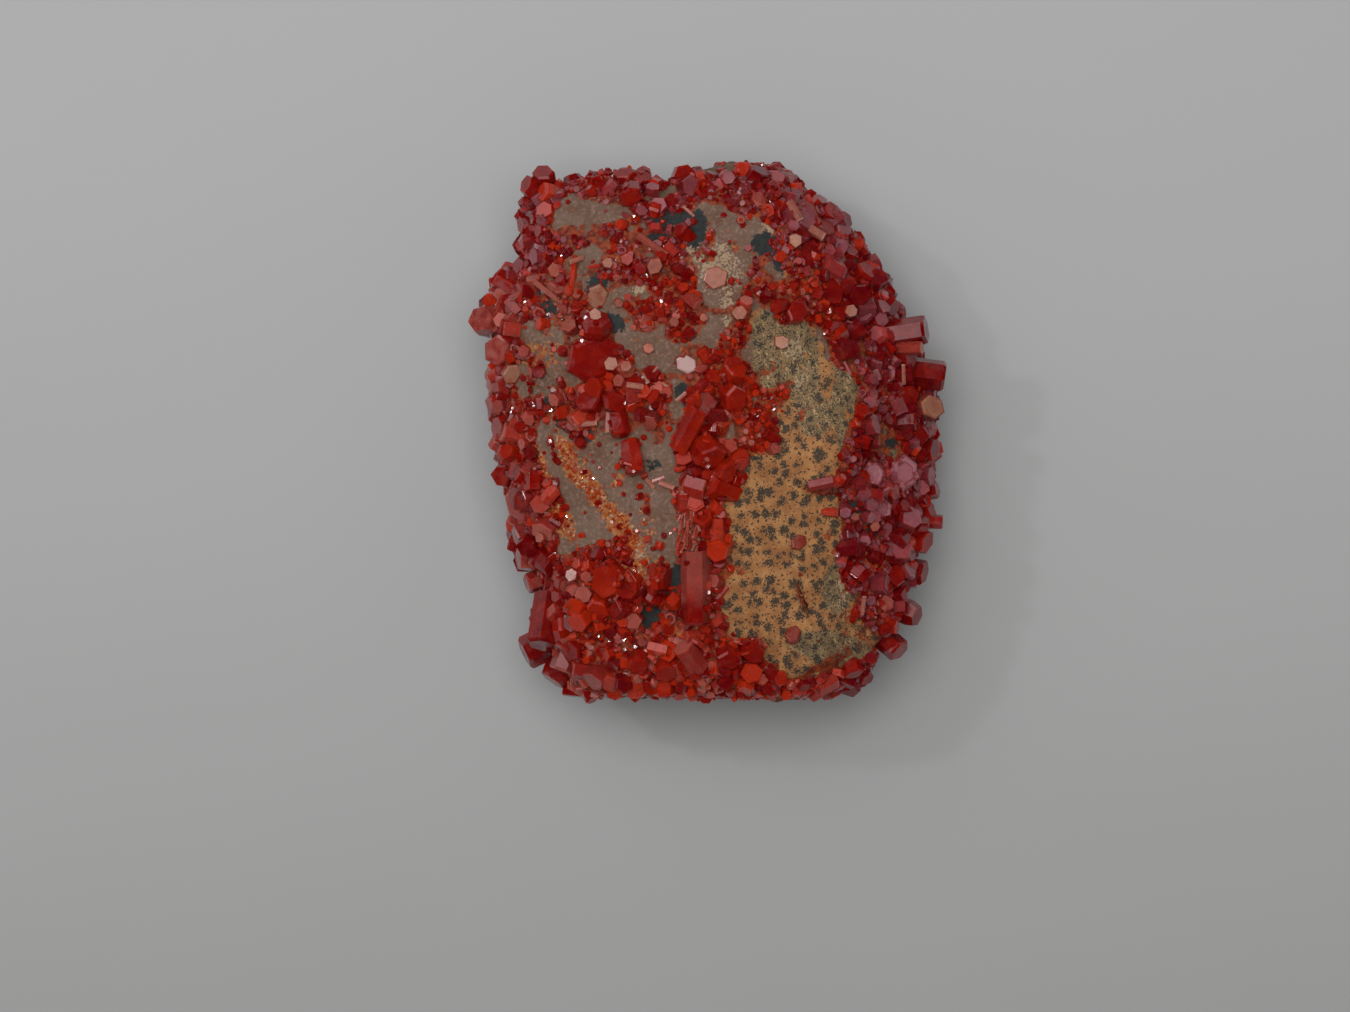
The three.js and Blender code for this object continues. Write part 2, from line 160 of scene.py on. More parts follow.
# Where the crust's crystals grow large.
COARSE = [
    (21.6, 1, 3, 13, 3, 1), (20.4, -14, 2.8, 9, 0, 1), (11, 19.6, 6, 2.2, -42, 0.8),
    (-21, 8.5, 2.6, 4.5, 0, 0.95), (-19.8, -2.6, 1.6, 3.4, 0, 0.8), (-18, -9, 1.8, 4.5, 0, 0.9),
    (-16, -21, 3.4, 5.5, 0, 1), (0, -1, 3.2, 7, 0, 0.85), (0.2, -13, 1.8, 7, 0, 0.6),
    (-8, 2.6, 4.5, 3.4, 0, 0.75), (-9.5, -16, 4, 3, 0, 0.8), (0, -23, 7, 2.2, 0, 0.65),
    (16.5, 13, 2.4, 5.5, 30, 0.7), (17.4, -6, 2.4, 4.5, 0, 0.8),
]

# Where the crust is finer, along the shoulder and the top edge.
FINE = [(12, 24, 7.5, 1.8, -42, 1), (18.2, 16.8, 5, 1.5, -62, 1), (-9, 26.4, 7.5, 1.6, 0, 1)]

# The smooth ochre face, its raised lip, and where it is greyer and more densely spotted.
OCHRE = [
    (7.4, -12, 5.5, 10.2, 2, 1), (10.6, -0.5, 3.6, 6.6, -8, 1), (9.2, 7.4, 1.9, 4, 8, 0.85),
    (13, -20.4, 4.4, 2.6, -8, 0.95), (4.3, -8.5, 2.6, 4, 0, 0.9), (15, 7, 1.1, 1.8, 0, 0.6),
    (13.8, 3.2, 1.2, 3, 10, 0.8), (4.4, -17.5, 2.8, 4.2, 0, 0.95), (18, -1.6, 1.2, 2, 30, 1),
    (6.3, 7.2, 1.5, 4.4, 6, 0.7), (9.8, -22.6, 2.6, 1.5, 0, 0.9), (13.6, -16.8, 1.3, 1.8, 0, 0.9),
]
LIP = (11.0, 1.4, 4.0, 7.4, -8)
LIP_HEIGHT = 1.25
MOSSY = [
    (9.2, 6.6, 2, 4.2, 5, 1), (10.6, 1.6, 2.4, 2.6, 0, 0.7), (12.9, -15.4, 1.6, 2.6, 0, 0.9),
    (12.6, -21.4, 4.6, 1.8, -10, 0.85), (14, 5.5, 1.6, 4, 0, 0.9), (13, 1.4, 0.7, 4, 5, 0.8),
    (6.3, 7, 2, 5, 6, 1), (18, -1.6, 1.6, 2.4, 30, 1),
]
HOLLOW = (-5.3, -17.8, 1.8, 2, 10)
HOLLOW_DEPTH = 1.7
CRACK = (9.7, -16.7, 0.24, 1.9, 22)
CRACK_DEPTH = 0.8

# Blue-black stains, orange druse, and pale and greenish ground.
DARK = [
    (-3.6, 20.7, 2.3, 1.3, 8, 1), (-1, 19.6, 1.2, 2, -8, 1), (-4.6, 18.6, 1.3, 0.9, 0, 0.9),
    (-2.6, 18.2, 1, 0.8, 30, 0.8), (5.6, 18.2, 1.2, 1.1, 30, 1), (7, 16.6, 0.6, 1.4, 20, 1),
    (-10.4, 14.4, 1.6, 0.9, 38, 1), (-9, 10.4, 1.2, 0.9, -30, 1), (-1.9, 3.3, 1.5, 0.9, -42, 1),
    (-16.6, 14, 0.8, 0.9, 0, 1), (-15.6, 11.8, 1.1, 0.9, 40, 1), (-17.6, 13, 0.9, 0.7, 0, 0.9),
    (-15.8, 2.6, 1.1, 0.6, 10, 0.9), (-13.8, 0.6, 1, 0.6, -20, 1), (-11.9, -0.6, 1, 0.9, 20, 1),
    (-5.4, -17.6, 1.7, 1.8, 0, 1), (18.3, -1.2, 0.8, 0.5, 0, 0.8), (16.4, -9.4, 0.7, 1.2, 0, 0.9),
    (-2.8, -14.4, 0.9, 1.3, 0, 1), (-3.6, -15.4, 0.8, 0.8, 20, 0.9), (-5, -3.4, 0.9, 0.7, 0, 0.6),
    (4.7, -2.8, 0.5, 0.4, 0, 0.5), (14.6, -7.4, 1.3, 0.6, -30, 0.9),
]
RUSTY = [
    (-13.4, -2.8, 0.8, 2.8, 26, 1), (-10.9, -6, 0.9, 3.2, 36, 1), (-8.6, -9, 1.1, 2.2, 40, 0.9),
    (-7.3, -11.2, 1.4, 1.6, 0, 0.8), (-15.9, -4.4, 0.7, 3.2, 14, 0.9), (-14.2, -8.6, 0.9, 2.8, 34, 0.9),
    (-2.4, -21.2, 2.6, 1.1, -38, 1), (-6.2, -13.2, 2.2, 1, 0, 0.7), (-17, 7, 1, 2, 0, 0.45),
    (-11.8, 6.4, 0.6, 2.2, 0, 0.5), (14.6, -18.2, 1.6, 0.9, 0, 0.55), (-15.4, 8, 1, 2.2, 10, 0.45),
    (16.6, -12.8, 2.2, 1.4, 0, 0.7), (9, 15, 1.4, 1.8, 0, 0.4), (-1.4, -19.6, 1, 1.4, 0, 0.8),
    (-8.8, -5, 1.2, 0.5, 40, 0.6), (-5.6, -9.4, 0.6, 1.4, 30, 0.5), (-14.4, 1.4, 0.8, 1.6, 10, 0.6),
]
PALE = [
    (1.2, 15.8, 2.4, 3, 25, 0.55), (-1.2, 16.8, 1.3, 1.8, 0, 0.5), (6.6, 20, 1.1, 0.8, 20, 0.7),
    (-9.6, 18.4, 0.4, 2.2, 10, 0.6), (2.2, 11.6, 0.8, 2.4, 8, 0.6), (-6.9, -12.4, 1.2, 1.4, 0, 0.6),
    (8.5, 8, 1.3, 1.5, 25, 0.5), (9.4, 5.2, 0.9, 1.4, -25, 0.42), (-13.9, -1.8, 0.7, 1.4, 0, 0.4),
    (-6.4, 13.8, 0.8, 0.6, 40, 0.7), (-4.8, -17.8, 0.8, 1.2, 0, 0.7), (-7.8, -9.6, 0.8, 1.4, 30, 0.5),
    (13.4, -16, 0.6, 1.6, 0, 0.5),
]
GREENISH = [(2.6, 26, 5, 1.8, 0, 1), (-3.8, 24.2, 2, 1.2, 0, 0.9), (14, -20.5, 4, 2.2, 0, 0.5)]


# ---- Mesh helpers ----

def link(obj):
    bpy.context.scene.collection.objects.link(obj)
    return obj


def vertex_places(mesh):
    """A mesh's vertices in millimetres."""
    flat = np.empty(len(mesh.vertices) * 3)
    mesh.vertices.foreach_get("co", flat)
    return flat.reshape(-1, 3) / MM


def vertex_directions(mesh):
    """Which way the surface faces at each vertex."""
    flat = np.empty(len(mesh.vertices) * 3)
    mesh.vertex_normals.foreach_get("vector", flat)
    return flat.reshape(-1, 3)


def move_vertices(mesh, places):
    mesh.vertices.foreach_set("co", (places * MM).ravel())
    mesh.update()


def smoothed(mesh, places, rounds):
    """Each vertex moves half way to the middle of its neighbours, several times over."""
    edges = np.empty(len(mesh.edges) * 2, dtype=np.int64)
    mesh.edges.foreach_get("vertices", edges)
    a, b = edges.reshape(-1, 2).T
    count = len(places)
    degree = np.bincount(a, minlength=count) + np.bincount(b, minlength=count)
    for _ in range(rounds):
        for axis in range(3):
            values = places[:, axis]
            sums = np.bincount(a, values[b], count) + np.bincount(b, values[a], count)
            places[:, axis] = 0.5 * values + 0.5 * sums / degree
    return places


def area_of(mesh):
    """In square millimetres."""
    return sum(p.area for p in mesh.polygons) / MM**2


def store(mesh, name, values):
    """Keeps a number or a vector on each vertex for the shaders."""
    if values.ndim == 1:
        mesh.attributes.new(name, "FLOAT", "POINT").data.foreach_set("value", values)
    else:
        kept = mesh.attributes.new(name, "FLOAT_VECTOR", "POINT")
        kept.data.foreach_set("vector", values.ravel())


# ---- The rock ----

def wandering(plan, reach, seed):
    """Places shifted about a little, so that areas laid out as ellipses get uneven edges."""
    sideways, endways = layered_noise(plan, 2.6, seed), layered_noise(plan, 2.6, seed + 5)
    return plan + reach * np.stack([sideways, endways, 0 * sideways], axis=1)


def crystal_cover(plan):
    """How thickly crystals cover each point of the front, 0 to 1."""
    shifted = wandering(plan, 0.8, 40)
    cover = blobs(shifted, COVERED) * (1 - blobs(shifted, BARE))
    return np.clip(cover, 0, 1) * (1 - ochre_share(plan))


def crowding(places, cover):
    """Above 0 where small crystals crowd together in clumps."""
    return cover - 0.1 - 0.74 * (0.5 + 0.5 * layered_noise(places, 1.5, 81))


def ochre_share(plan, edge=0.14):
    """1 on the smooth ochre face, fading to 0 across its uneven edge."""
    return blobs(wandering(plan, 0.7, 140), OCHRE, edge)


def lip_height(plan):
    """The raised ochre lip: it swells gently from the upper left and breaks off at the lower right."""
    x, y, rx, ry, turn = LIP
    wobble = 0.35 * soft_noise(plan, 2.4, 61)
    sharp = blob(plan + wobble[:, None], x, y, rx, ry, turn, 0.07)
    gentle = smoothstep(-4.5, 3.0, (plan[:, 0] - x) - 0.45 * (plan[:, 1] - y))
    return LIP_HEIGHT * sharp * gentle


def front_relief(plan, up):
    """How far the rock's skin moves out, in millimetres."""
    front = smoothstep(0.35, 0.8, up)
    smooth_part = front * ochre_share(plan)
    rough = 1 - 0.75 * smooth_part
    relief = 0.42 * rough * layered_noise(plan, 5.0, 11)
    relief += 0.2 * rough * layered_noise(plan, 1.5, 21)
    relief -= 0.5 * (1 - front) * np.abs(layered_noise(plan, 3.4, 31))
    relief += 0.16 * (1 - front) * layered_noise(plan, 1.0, 35)
    relief += front * lip_height(plan)
    relief -= front * HOLLOW_DEPTH * blob(plan, *HOLLOW, 0.5)
    relief -= front * CRACK_DEPTH * blob(plan, *CRACK, 0.7)
    relief += front * 0.25 * blobs(plan, PALE) * layered_noise(plan, 0.8, 51)
    return relief


def remeshed(node, name, voxel):
    """A copy of a CAD node as an even fine mesh."""
    obj = link(bpy.data.objects.new(name, node.data.copy()))
    remesh = obj.modifiers.new("even", "REMESH")
    remesh.mode = "VOXEL"
    remesh.voxel_size = voxel * MM
    remesh.use_smooth_shade = True
    evaluated = obj.evaluated_get(bpy.context.evaluated_depsgraph_get())
    mesh = bpy.data.meshes.new_from_object(evaluated)
    mesh.materials.clear()
    mesh.name = name
    obj.modifiers.clear()
    obj.data = mesh
    return obj


def keep_back_flat(before, after):
    """The back stays on the table and the rest of the rock above it."""
    after[:, 2] = np.where(before[:, 2] < BACK_ZONE, 0.0, np.maximum(after[:, 2], 0.0))
    return after


def make_rock():
    rock = remeshed(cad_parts["matrix"], "matrix_rock", ROCK_VOXEL)
    mesh = rock.data
    start = vertex_places(mesh)
    move_vertices(mesh, keep_back_flat(start, smoothed(mesh, start.copy(), SMOOTHING)))
    places, outward = vertex_places(mesh), vertex_directions(mesh)
    plan = places - PLAN_MIDDLE
    relief = ROCK_SWELL + front_relief(plan, outward[:, 2])
    move_vertices(mesh, keep_back_flat(places, places + outward * relief[:, None]))
    paint_rock(mesh)
    mesh.shade_smooth()
    mesh.materials.append(rock_material())
    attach(rock, "root")
    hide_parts("matrix")
    return rock


def paint_rock(mesh):
    """Where each colour of the rock lies, for its material."""
    plan = vertex_places(mesh) - PLAN_MIDDLE
    front = smoothstep(0.1, 0.45, vertex_directions(mesh)[:, 2])
    reaching = np.clip(2.2 * ochre_share(plan, 0.4), 0, 1)
    store(mesh, "ochre", front * reaching)
    store(mesh, "dark", front * blobs(plan, DARK, 0.45))
    store(mesh, "rusty", front * blobs(plan, RUSTY, 0.6))
    store(mesh, "pale", front * blobs(plan, PALE, 0.6))
    greenish = blobs(plan, GREENISH, 0.5)
    store(mesh, "greenish", greenish)
    store(mesh, "mossy", front * blobs(plan, MOSSY, 0.6))
    crusted = np.maximum(front * crystal_cover(plan), rim_cover(plan, mesh))
    crusted = smoothstep(-0.36, 0.0, crowding(plan + PLAN_MIDDLE, crusted))
    store(mesh, "crusted", 0.85 * crusted * (1 - 0.9 * greenish))


def rim_cover(plan, mesh):
    """The crust that wraps over the rim and thins out down the sides."""
    up = vertex_directions(mesh)[:, 2]
    leaning = smoothstep(0.82, 0.6, up) * smoothstep(-0.5, -0.1, up)
    height = smoothstep(4.5, 9.0, plan[:, 2] + 1.6 * layered_noise(plan, 5.0, 71))
    return leaning * height


# ---- Hexagonal crystals ----

UNEVEN = 0.14  # how far a side may lie from a regular hexagon's, as a share of the radius

# Half sections from the root to the tip, as shares of the radius and of the length. The first and
# last rings are closed by flat faces.
SECTIONS = {
    "prism": [(1, 0), (1, 0.93), (0.93, 1)],
    "bar": [(1, 0), (1, 0.97), (0.9, 1)],
    "plate": [(0.9, 0), (1, 0.45), (0.97, 0.9), (0.88, 1)],
    "barrel": [(0.74, 0), (1, 0.4), (1, 0.6), (0.74, 1)],
    "hopper": [(1, 0), (1, 0.94), (0.94, 1), (0.62, 1), (0.4, 0.8)],
    "stepped": [(1, 0), (1, 0.86), (0.94, 0.9), (0.78, 0.9), (0.74, 1)],
}


def section_faces(rings):
    """The faces of one crystal: a foot, the sides ring by ring, and a top."""
    faces = [tuple(reversed(range(SIDES)))]
    for ring in range(rings - 1):
        for side in range(SIDES):
            a, b = ring * SIDES + side, ring * SIDES + (side + 1) % SIDES
            faces.append((a, b, b + SIDES, a + SIDES))
    faces.append(tuple(range((rings - 1) * SIDES, rings * SIDES)))
    return faces


def crossways(axes, rng):
    """Two directions square to each axis, turned by a random amount."""
    helper = unit(rng.normal(size=axes.shape))
    side = unit(np.cross(axes, helper))
    return side, np.cross(axes, side)


def crystals_of(habit, sites, rng):
    """Vertices, their place in their own crystal, and their look, for every site of one habit."""
    share_out, share_up = np.array(SECTIONS[habit], dtype=float).T[..., None, None]
    count, rings = len(sites["radius"]), len(share_out)
    angle = np.arange(SIDES) * math.tau / SIDES
    corners = np.stack([np.cos(angle), np.sin(angle)], axis=1)
    corners = corners * (1 + UNEVEN * rng.uniform(-1, 1, (count, SIDES, 1)))
    u, v = crossways(sites["axis"], rng)
    across = corners[..., :1] * u[:, None] + corners[..., 1:] * v[:, None]
    across = across * sites["radius"][:, None, None]
    along = sites["axis"] * sites["length"][:, None]
    root = sites["root"][:, None, None]
    places = root + across[:, None] * share_out + along[:, None, None] * share_up
    own = np.empty((count, rings, SIDES, 3))
    own[..., 0] = share_out[..., 0]
    own[..., 1] = share_up[..., 0]
    own[..., 2] = sites["tint"][:, None, None]
    bloom_and_sheen = np.repeat(sites["bloom_and_sheen"], rings * SIDES)
    return places.reshape(-1, 3), own.reshape(-1, 3), bloom_and_sheen


def crystal_piece(name, groups, material, rng):
    """One joined mesh of many small crystals; groups holds the sites of each habit."""
    all_places, all_own, all_bloom_and_sheen, all_faces, start = [], [], [], [], 0
    for habit, sites in groups.items():
        places, own, bloom_and_sheen = crystals_of(habit, sites, rng)
        shape = section_faces(len(SECTIONS[habit]))
        for first in range(start, start + len(places), len(SECTIONS[habit]) * SIDES):
            all_faces.extend([first + i for i in face] for face in shape)
        start += len(places)
        all_places.append(places)
        all_own.append(own)
        all_bloom_and_sheen.append(bloom_and_sheen)
    mesh = bpy.data.meshes.new(name)
    mesh.from_pydata((np.concatenate(all_places) * MM).tolist(), [], all_faces)
    store(mesh, "own", np.concatenate(all_own))
    store(mesh, "bloom_and_sheen", np.concatenate(all_bloom_and_sheen))
    mesh.materials.append(material)
    piece = link(bpy.data.objects.new(name, mesh))
    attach(piece, "root")
    return piece


# ---- Where the small crystals grow ----

# The share of each habit, and its length as a multiple of its radius.
HABIT_SHARES = {"prism": 0.32, "barrel": 0.22, "plate": 0.14, "hopper": 0.06, "stepped": 0.1, "bar": 0.16}
LENGTHS = {
    "prism": (1.4, 2.8), "barrel": (1.2, 2.0), "plate": (0.5, 0.9), "hopper": (0.9, 1.7),
    "stepped": (0.8, 1.6), "bar": (2.6, 4.4),
}
BAR_WIDTH = 0.55

# The crust is grown in sizes: smallest and largest radius, tries for each square millimetre, and
# how far the size keeps to where the crystals grow large (above 0) or keeps away from there.
CRUST_SIZES = [
    (0.95, 1.35, 0.5, 1.0), (0.6, 0.9, 2.2, 0.85), (0.34, 0.56, 3.6, -0.45), (0.17, 0.32, 3.6, -0.85),
]
CLOSENESS = 0.36
LONE = 0.03  # the share of small crystals that grow on the bare rock
FINER = 0.45  # how much smaller crystals are where the crust is finer
BROAD = 0.6  # crystals of a larger radius are never thin bars, and sit less deep
SPARKLING = 0.3  # only crystals under this radius have a flat end turned to glint
GLINT_SHARES = (0.12, 0.05)  # of those small ones, on the left and elsewhere
SCATTER = [0.35, 1.1]  # some crystals stand fairly square to the rock and the rest lie anyhow
SCATTER_SHARES = [0.45, 0.55]
DAZZLE = 0.985  # how closely a face may match the glinting way before it is turned aside
SEEDLING_TRIES = 2.0  # for each square millimetre of the large crystals
GRAIN_TRIES = 13  # for each square millimetre of the rock


def only(keep, *lists):
    """The same picked items of several arrays."""
    return [values[keep] for values in lists]


def site_table(root, axis, radius, length, tint, bloom_and_sheen):
    """Where crystals of one habit grow and how each one looks."""
    return {
        "root": root, "axis": axis, "radius": radius, "length": length, "tint": tint, "bloom_and_sheen": bloom_and_sheen,
    }


def surface_samples(mesh, count, rng):
    """Random points spread evenly over a mesh, with the way the surface faces at each."""
    mesh.calc_loop_triangles()
    corners = np.empty(len(mesh.loop_triangles) * 3, dtype=np.int64)
    mesh.loop_triangles.foreach_get("vertices", corners)
    corners = corners.reshape(-1, 3)
    places, outward = vertex_places(mesh), vertex_directions(mesh)
    a, b, c = (places[corners[:, i]] for i in range(3))
    area = np.linalg.norm(np.cross(b - a, c - a), axis=1)
    picked = rng.choice(len(area), count, p=area / area.sum())
    share = rng.dirichlet((1, 1, 1), count)[..., None]
    points = (places[corners[picked]] * share).sum(axis=1)
    facing = unit((outward[corners[picked]] * share).sum(axis=1))
    return points, facing


def spaced(points, radii, closeness):
    """Which points to keep, the largest first, so that none crowds another."""
    cell = 2 * radii.max()
    kept, grid = [], {}
    for i in np.argsort(-radii):
        home = tuple((points[i] // cell).astype(int))
        around = [(home[0] + x, home[1] + y, home[2] + z)
                  for x in (-1, 0, 1) for y in (-1, 0, 1) for z in (-1, 0, 1)]
        near = [j for cell_ in around for j in grid.get(cell_, ())]
        if near:
            gap = np.linalg.norm(points[near] - points[i], axis=1)
            if np.any(gap < closeness * (radii[near] + radii[i])):
                continue
        kept.append(i)
        grid.setdefault(home, []).append(i)
    return np.array(kept)


def growth(points, facing):
    """How readily crystals grow at each point, 0 to 1, over the front and the rim."""
    plan = points - PLAN_MIDDLE
    front = smoothstep(0.1, 0.45, facing[:, 2]) * crystal_cover(plan)
    leaning = smoothstep(0.85, 0.6, facing[:, 2]) * (1 - ochre_share(plan))
    height = smoothstep(4.0, 8.5, plan[:, 2] + 1.8 * layered_noise(plan, 5.0, 71))
    rim = leaning * height * smoothstep(-0.75, -0.3, facing[:, 2])
    rim *= 1 - 0.6 * blobs(plan, GREENISH[:2])
    return np.maximum(front, rim) * (1 - blobs(plan, LARGE_ONLY)), rim


def glinting(points):
    """The way a crystal's flat end looks when it throws the window's light up to the viewer."""
    to_window = unit(np.array(WINDOW) / MM - points)
    to_viewer = unit(np.array([0, 0, CAMERA_HEIGHT]) - points)
    return unit(to_window + to_viewer)


def directions(points, facing, radii, rng):
    """Which way each crystal points, and which ones throw a glint up to the viewer."""
    scatter = rng.normal(size=points.shape)
    spread = scatter * rng.choice(SCATTER, len(points), p=SCATTER_SHARES)[:, None]
    axis = unit(facing + spread)
    outward = np.sum(axis * facing, axis=1)
    axis = np.where(outward[:, None] < 0.02, unit(axis - 1.9 * outward[:, None] * facing), axis)
    shines = rng.uniform(0, 1, len(points)) < np.where(points[:, 0] < -4, *GLINT_SHARES)
    shines &= radii < SPARKLING
    axis[shines] = unit(glinting(points[shines]) + rng.normal(0, 0.012, (shines.sum(), 3)))
    dazzles = (np.sum(axis * glinting(points), axis=1) > DAZZLE) & (radii >= SPARKLING)
    axis[dazzles] = unit(axis[dazzles] + (0.3, 0, 0))
    return axis, shines


def sites_on(points, facing, radii, tint_shift, pinkness, rng):
    """Turns growing points into crystals, sorted by habit; pinkness is the share with a paler end, partly a
    duller skin and partly painted sheen.
    """
    names = rng.choice(list(HABIT_SHARES), len(points), p=list(HABIT_SHARES.values()))
    names = np.where((names == "bar") & (radii > BROAD), "prism", names)
    axis, shines = directions(points, facing, radii, rng)
    sunk = np.where(radii < BROAD, 0.62, 0.5)
    groups = {}
    for habit in HABIT_SHARES:
        mine = names == habit
        low, high = LENGTHS[habit]
        length = radii[mine] * rng.uniform(low, high, mine.sum())
        radius = radii[mine] * (BAR_WIDTH if habit == "bar" else 1)
        lean = np.sqrt(np.clip(1 - np.sum(axis[mine] * facing[mine], axis=1) ** 2, 0, 1))
        lift = facing[mine] * (0.4 * radius * lean)[:, None]
        root = points[mine] + lift - axis[mine] * (sunk[mine] * length)[:, None]
        tint = np.clip(rng.normal(0.42 + tint_shift, 0.32, mine.sum()), 0, 1)
        # Pink ends: a paler, duller skin mixed with painted sheen, the lights' reflection painted onto some
        # flat ends.
        pink = (rng.uniform(0, 1, mine.sum()) < pinkness) & ~shines[mine]
        bloom_and_sheen = rng.uniform(0, 0.06, mine.sum()) + pink * rng.uniform(0.3, 1, mine.sum())
        groups[habit] = site_table(root, axis[mine], radius, length, tint, bloom_and_sheen)
    return groups


def inside_box(points, radii):
    """Which crystals' middles stay clear of the CAD box's sides."""
    low, high = np.array(cad_box[0]) / MM, np.array(cad_box[1]) / MM
    reach = 1.1 * radii[:, None]
    return np.all((points - reach > low) & (points + reach < high), axis=1)


def large_crystals():
    return [node for name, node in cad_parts.items() if name != "matrix"]


def surface_of(objects):
    """Several objects' surfaces in millimetres as one, for finding distances and heights."""
    corners, faces = [], []
    for obj in objects:
        first = len(corners)
        corners.extend(Vector(place) for place in vertex_places(obj.data))
        faces.extend([first + i for i in p.vertices] for p in obj.data.polygons)
    return BVHTree.FromPolygons(corners, faces)


def clear_of(tree, points, radii):
    """Which points aren't in or right against a large crystal."""
    gaps = [tree.find_nearest(Vector(point))[3] for point in points]
    return np.array(gaps) > np.where(radii > 0.5, 0.45, 0.2) * radii


def candidates(rock, area, low, high, density, keeps_to, rng):
    """Places where crystals of one size could grow."""
    points, facing = surface_samples(rock.data, int(area * density), rng)
    plan = points - PLAN_MIDDLE
    cover, rim = growth(points, facing)
    coarse = np.maximum(blobs(plan, COARSE, 0.4), 0.45 * rim)
    chance = 1 - keeps_to * (1 - coarse) if keeps_to > 0 else 1 + keeps_to * coarse
    lone = (rng.uniform(0, 1, len(points)) < LONE) & (facing[:, 2] > 0.7) & (high < BROAD)
    lone &= ochre_share(plan) < 0.5
    grows = (crowding(points, cover) > 0) & (rng.uniform(0, 1, len(points)) < chance) | lone
    radii = rng.uniform(low, high, len(points)) * (0.8 + 0.2 * coarse)
    radii = radii * (1 - FINER * blobs(plan, FINE, 0.4))
    return only(grows, points, facing, radii)


def make_crust(rock, rosy, lilac):
    """The crust of small crystals over the rim and the front, as a few joined pieces."""
    rng = np.random.default_rng(5)
    area = area_of(rock.data)
    sizes = [candidates(rock, area, *size, rng) for size in CRUST_SIZES]
    points, facing, radii = (np.concatenate(part) for part in zip(*sizes))
    fits = inside_box(points, radii) & clear_of(surface_of(large_crystals()), points, radii)
    points, facing, radii = only(fits, points, facing, radii)
    points, facing, radii = only(spaced(points, radii, CLOSENESS), points, facing, radii)
    pieces = []
    for name, (mine, tint, pinkness) in crust_regions(points - PLAN_MIDDLE).items():
        groups = sites_on(*only(mine, points, facing, radii), tint, pinkness, rng)
        # The right and top crusts' paler ends take the lilac colour: painted sheen of a cool reflection,
        # mixed with a duller skin.
        material = lilac if name in ("right", "top") else rosy
        pieces.append(crystal_piece("crust_" + name, groups, material, rng))
    return pieces


def crust_regions(plan):
    """The crust's pieces: where each one is, how far it leans to orange, and its share of paler ends, partly
    a duller skin and partly painted sheen.
    """
    x, y = plan[:, 0], plan[:, 1]
    right = x > 13
    top = (y > 15) & ~right
    left = (x < -13) & ~top
    bottom = (y < -14) & ~right & ~left
    middle = ~(right | top | left | bottom)
    return {
        "right": (right, -0.12, 0.4), "top": (top, 0.05, 0.4), "left": (left, 0.0, 0.5),
        "bottom": (bottom, 0.22, 0.34), "middle": (middle, 0.2, 0.2),
    }
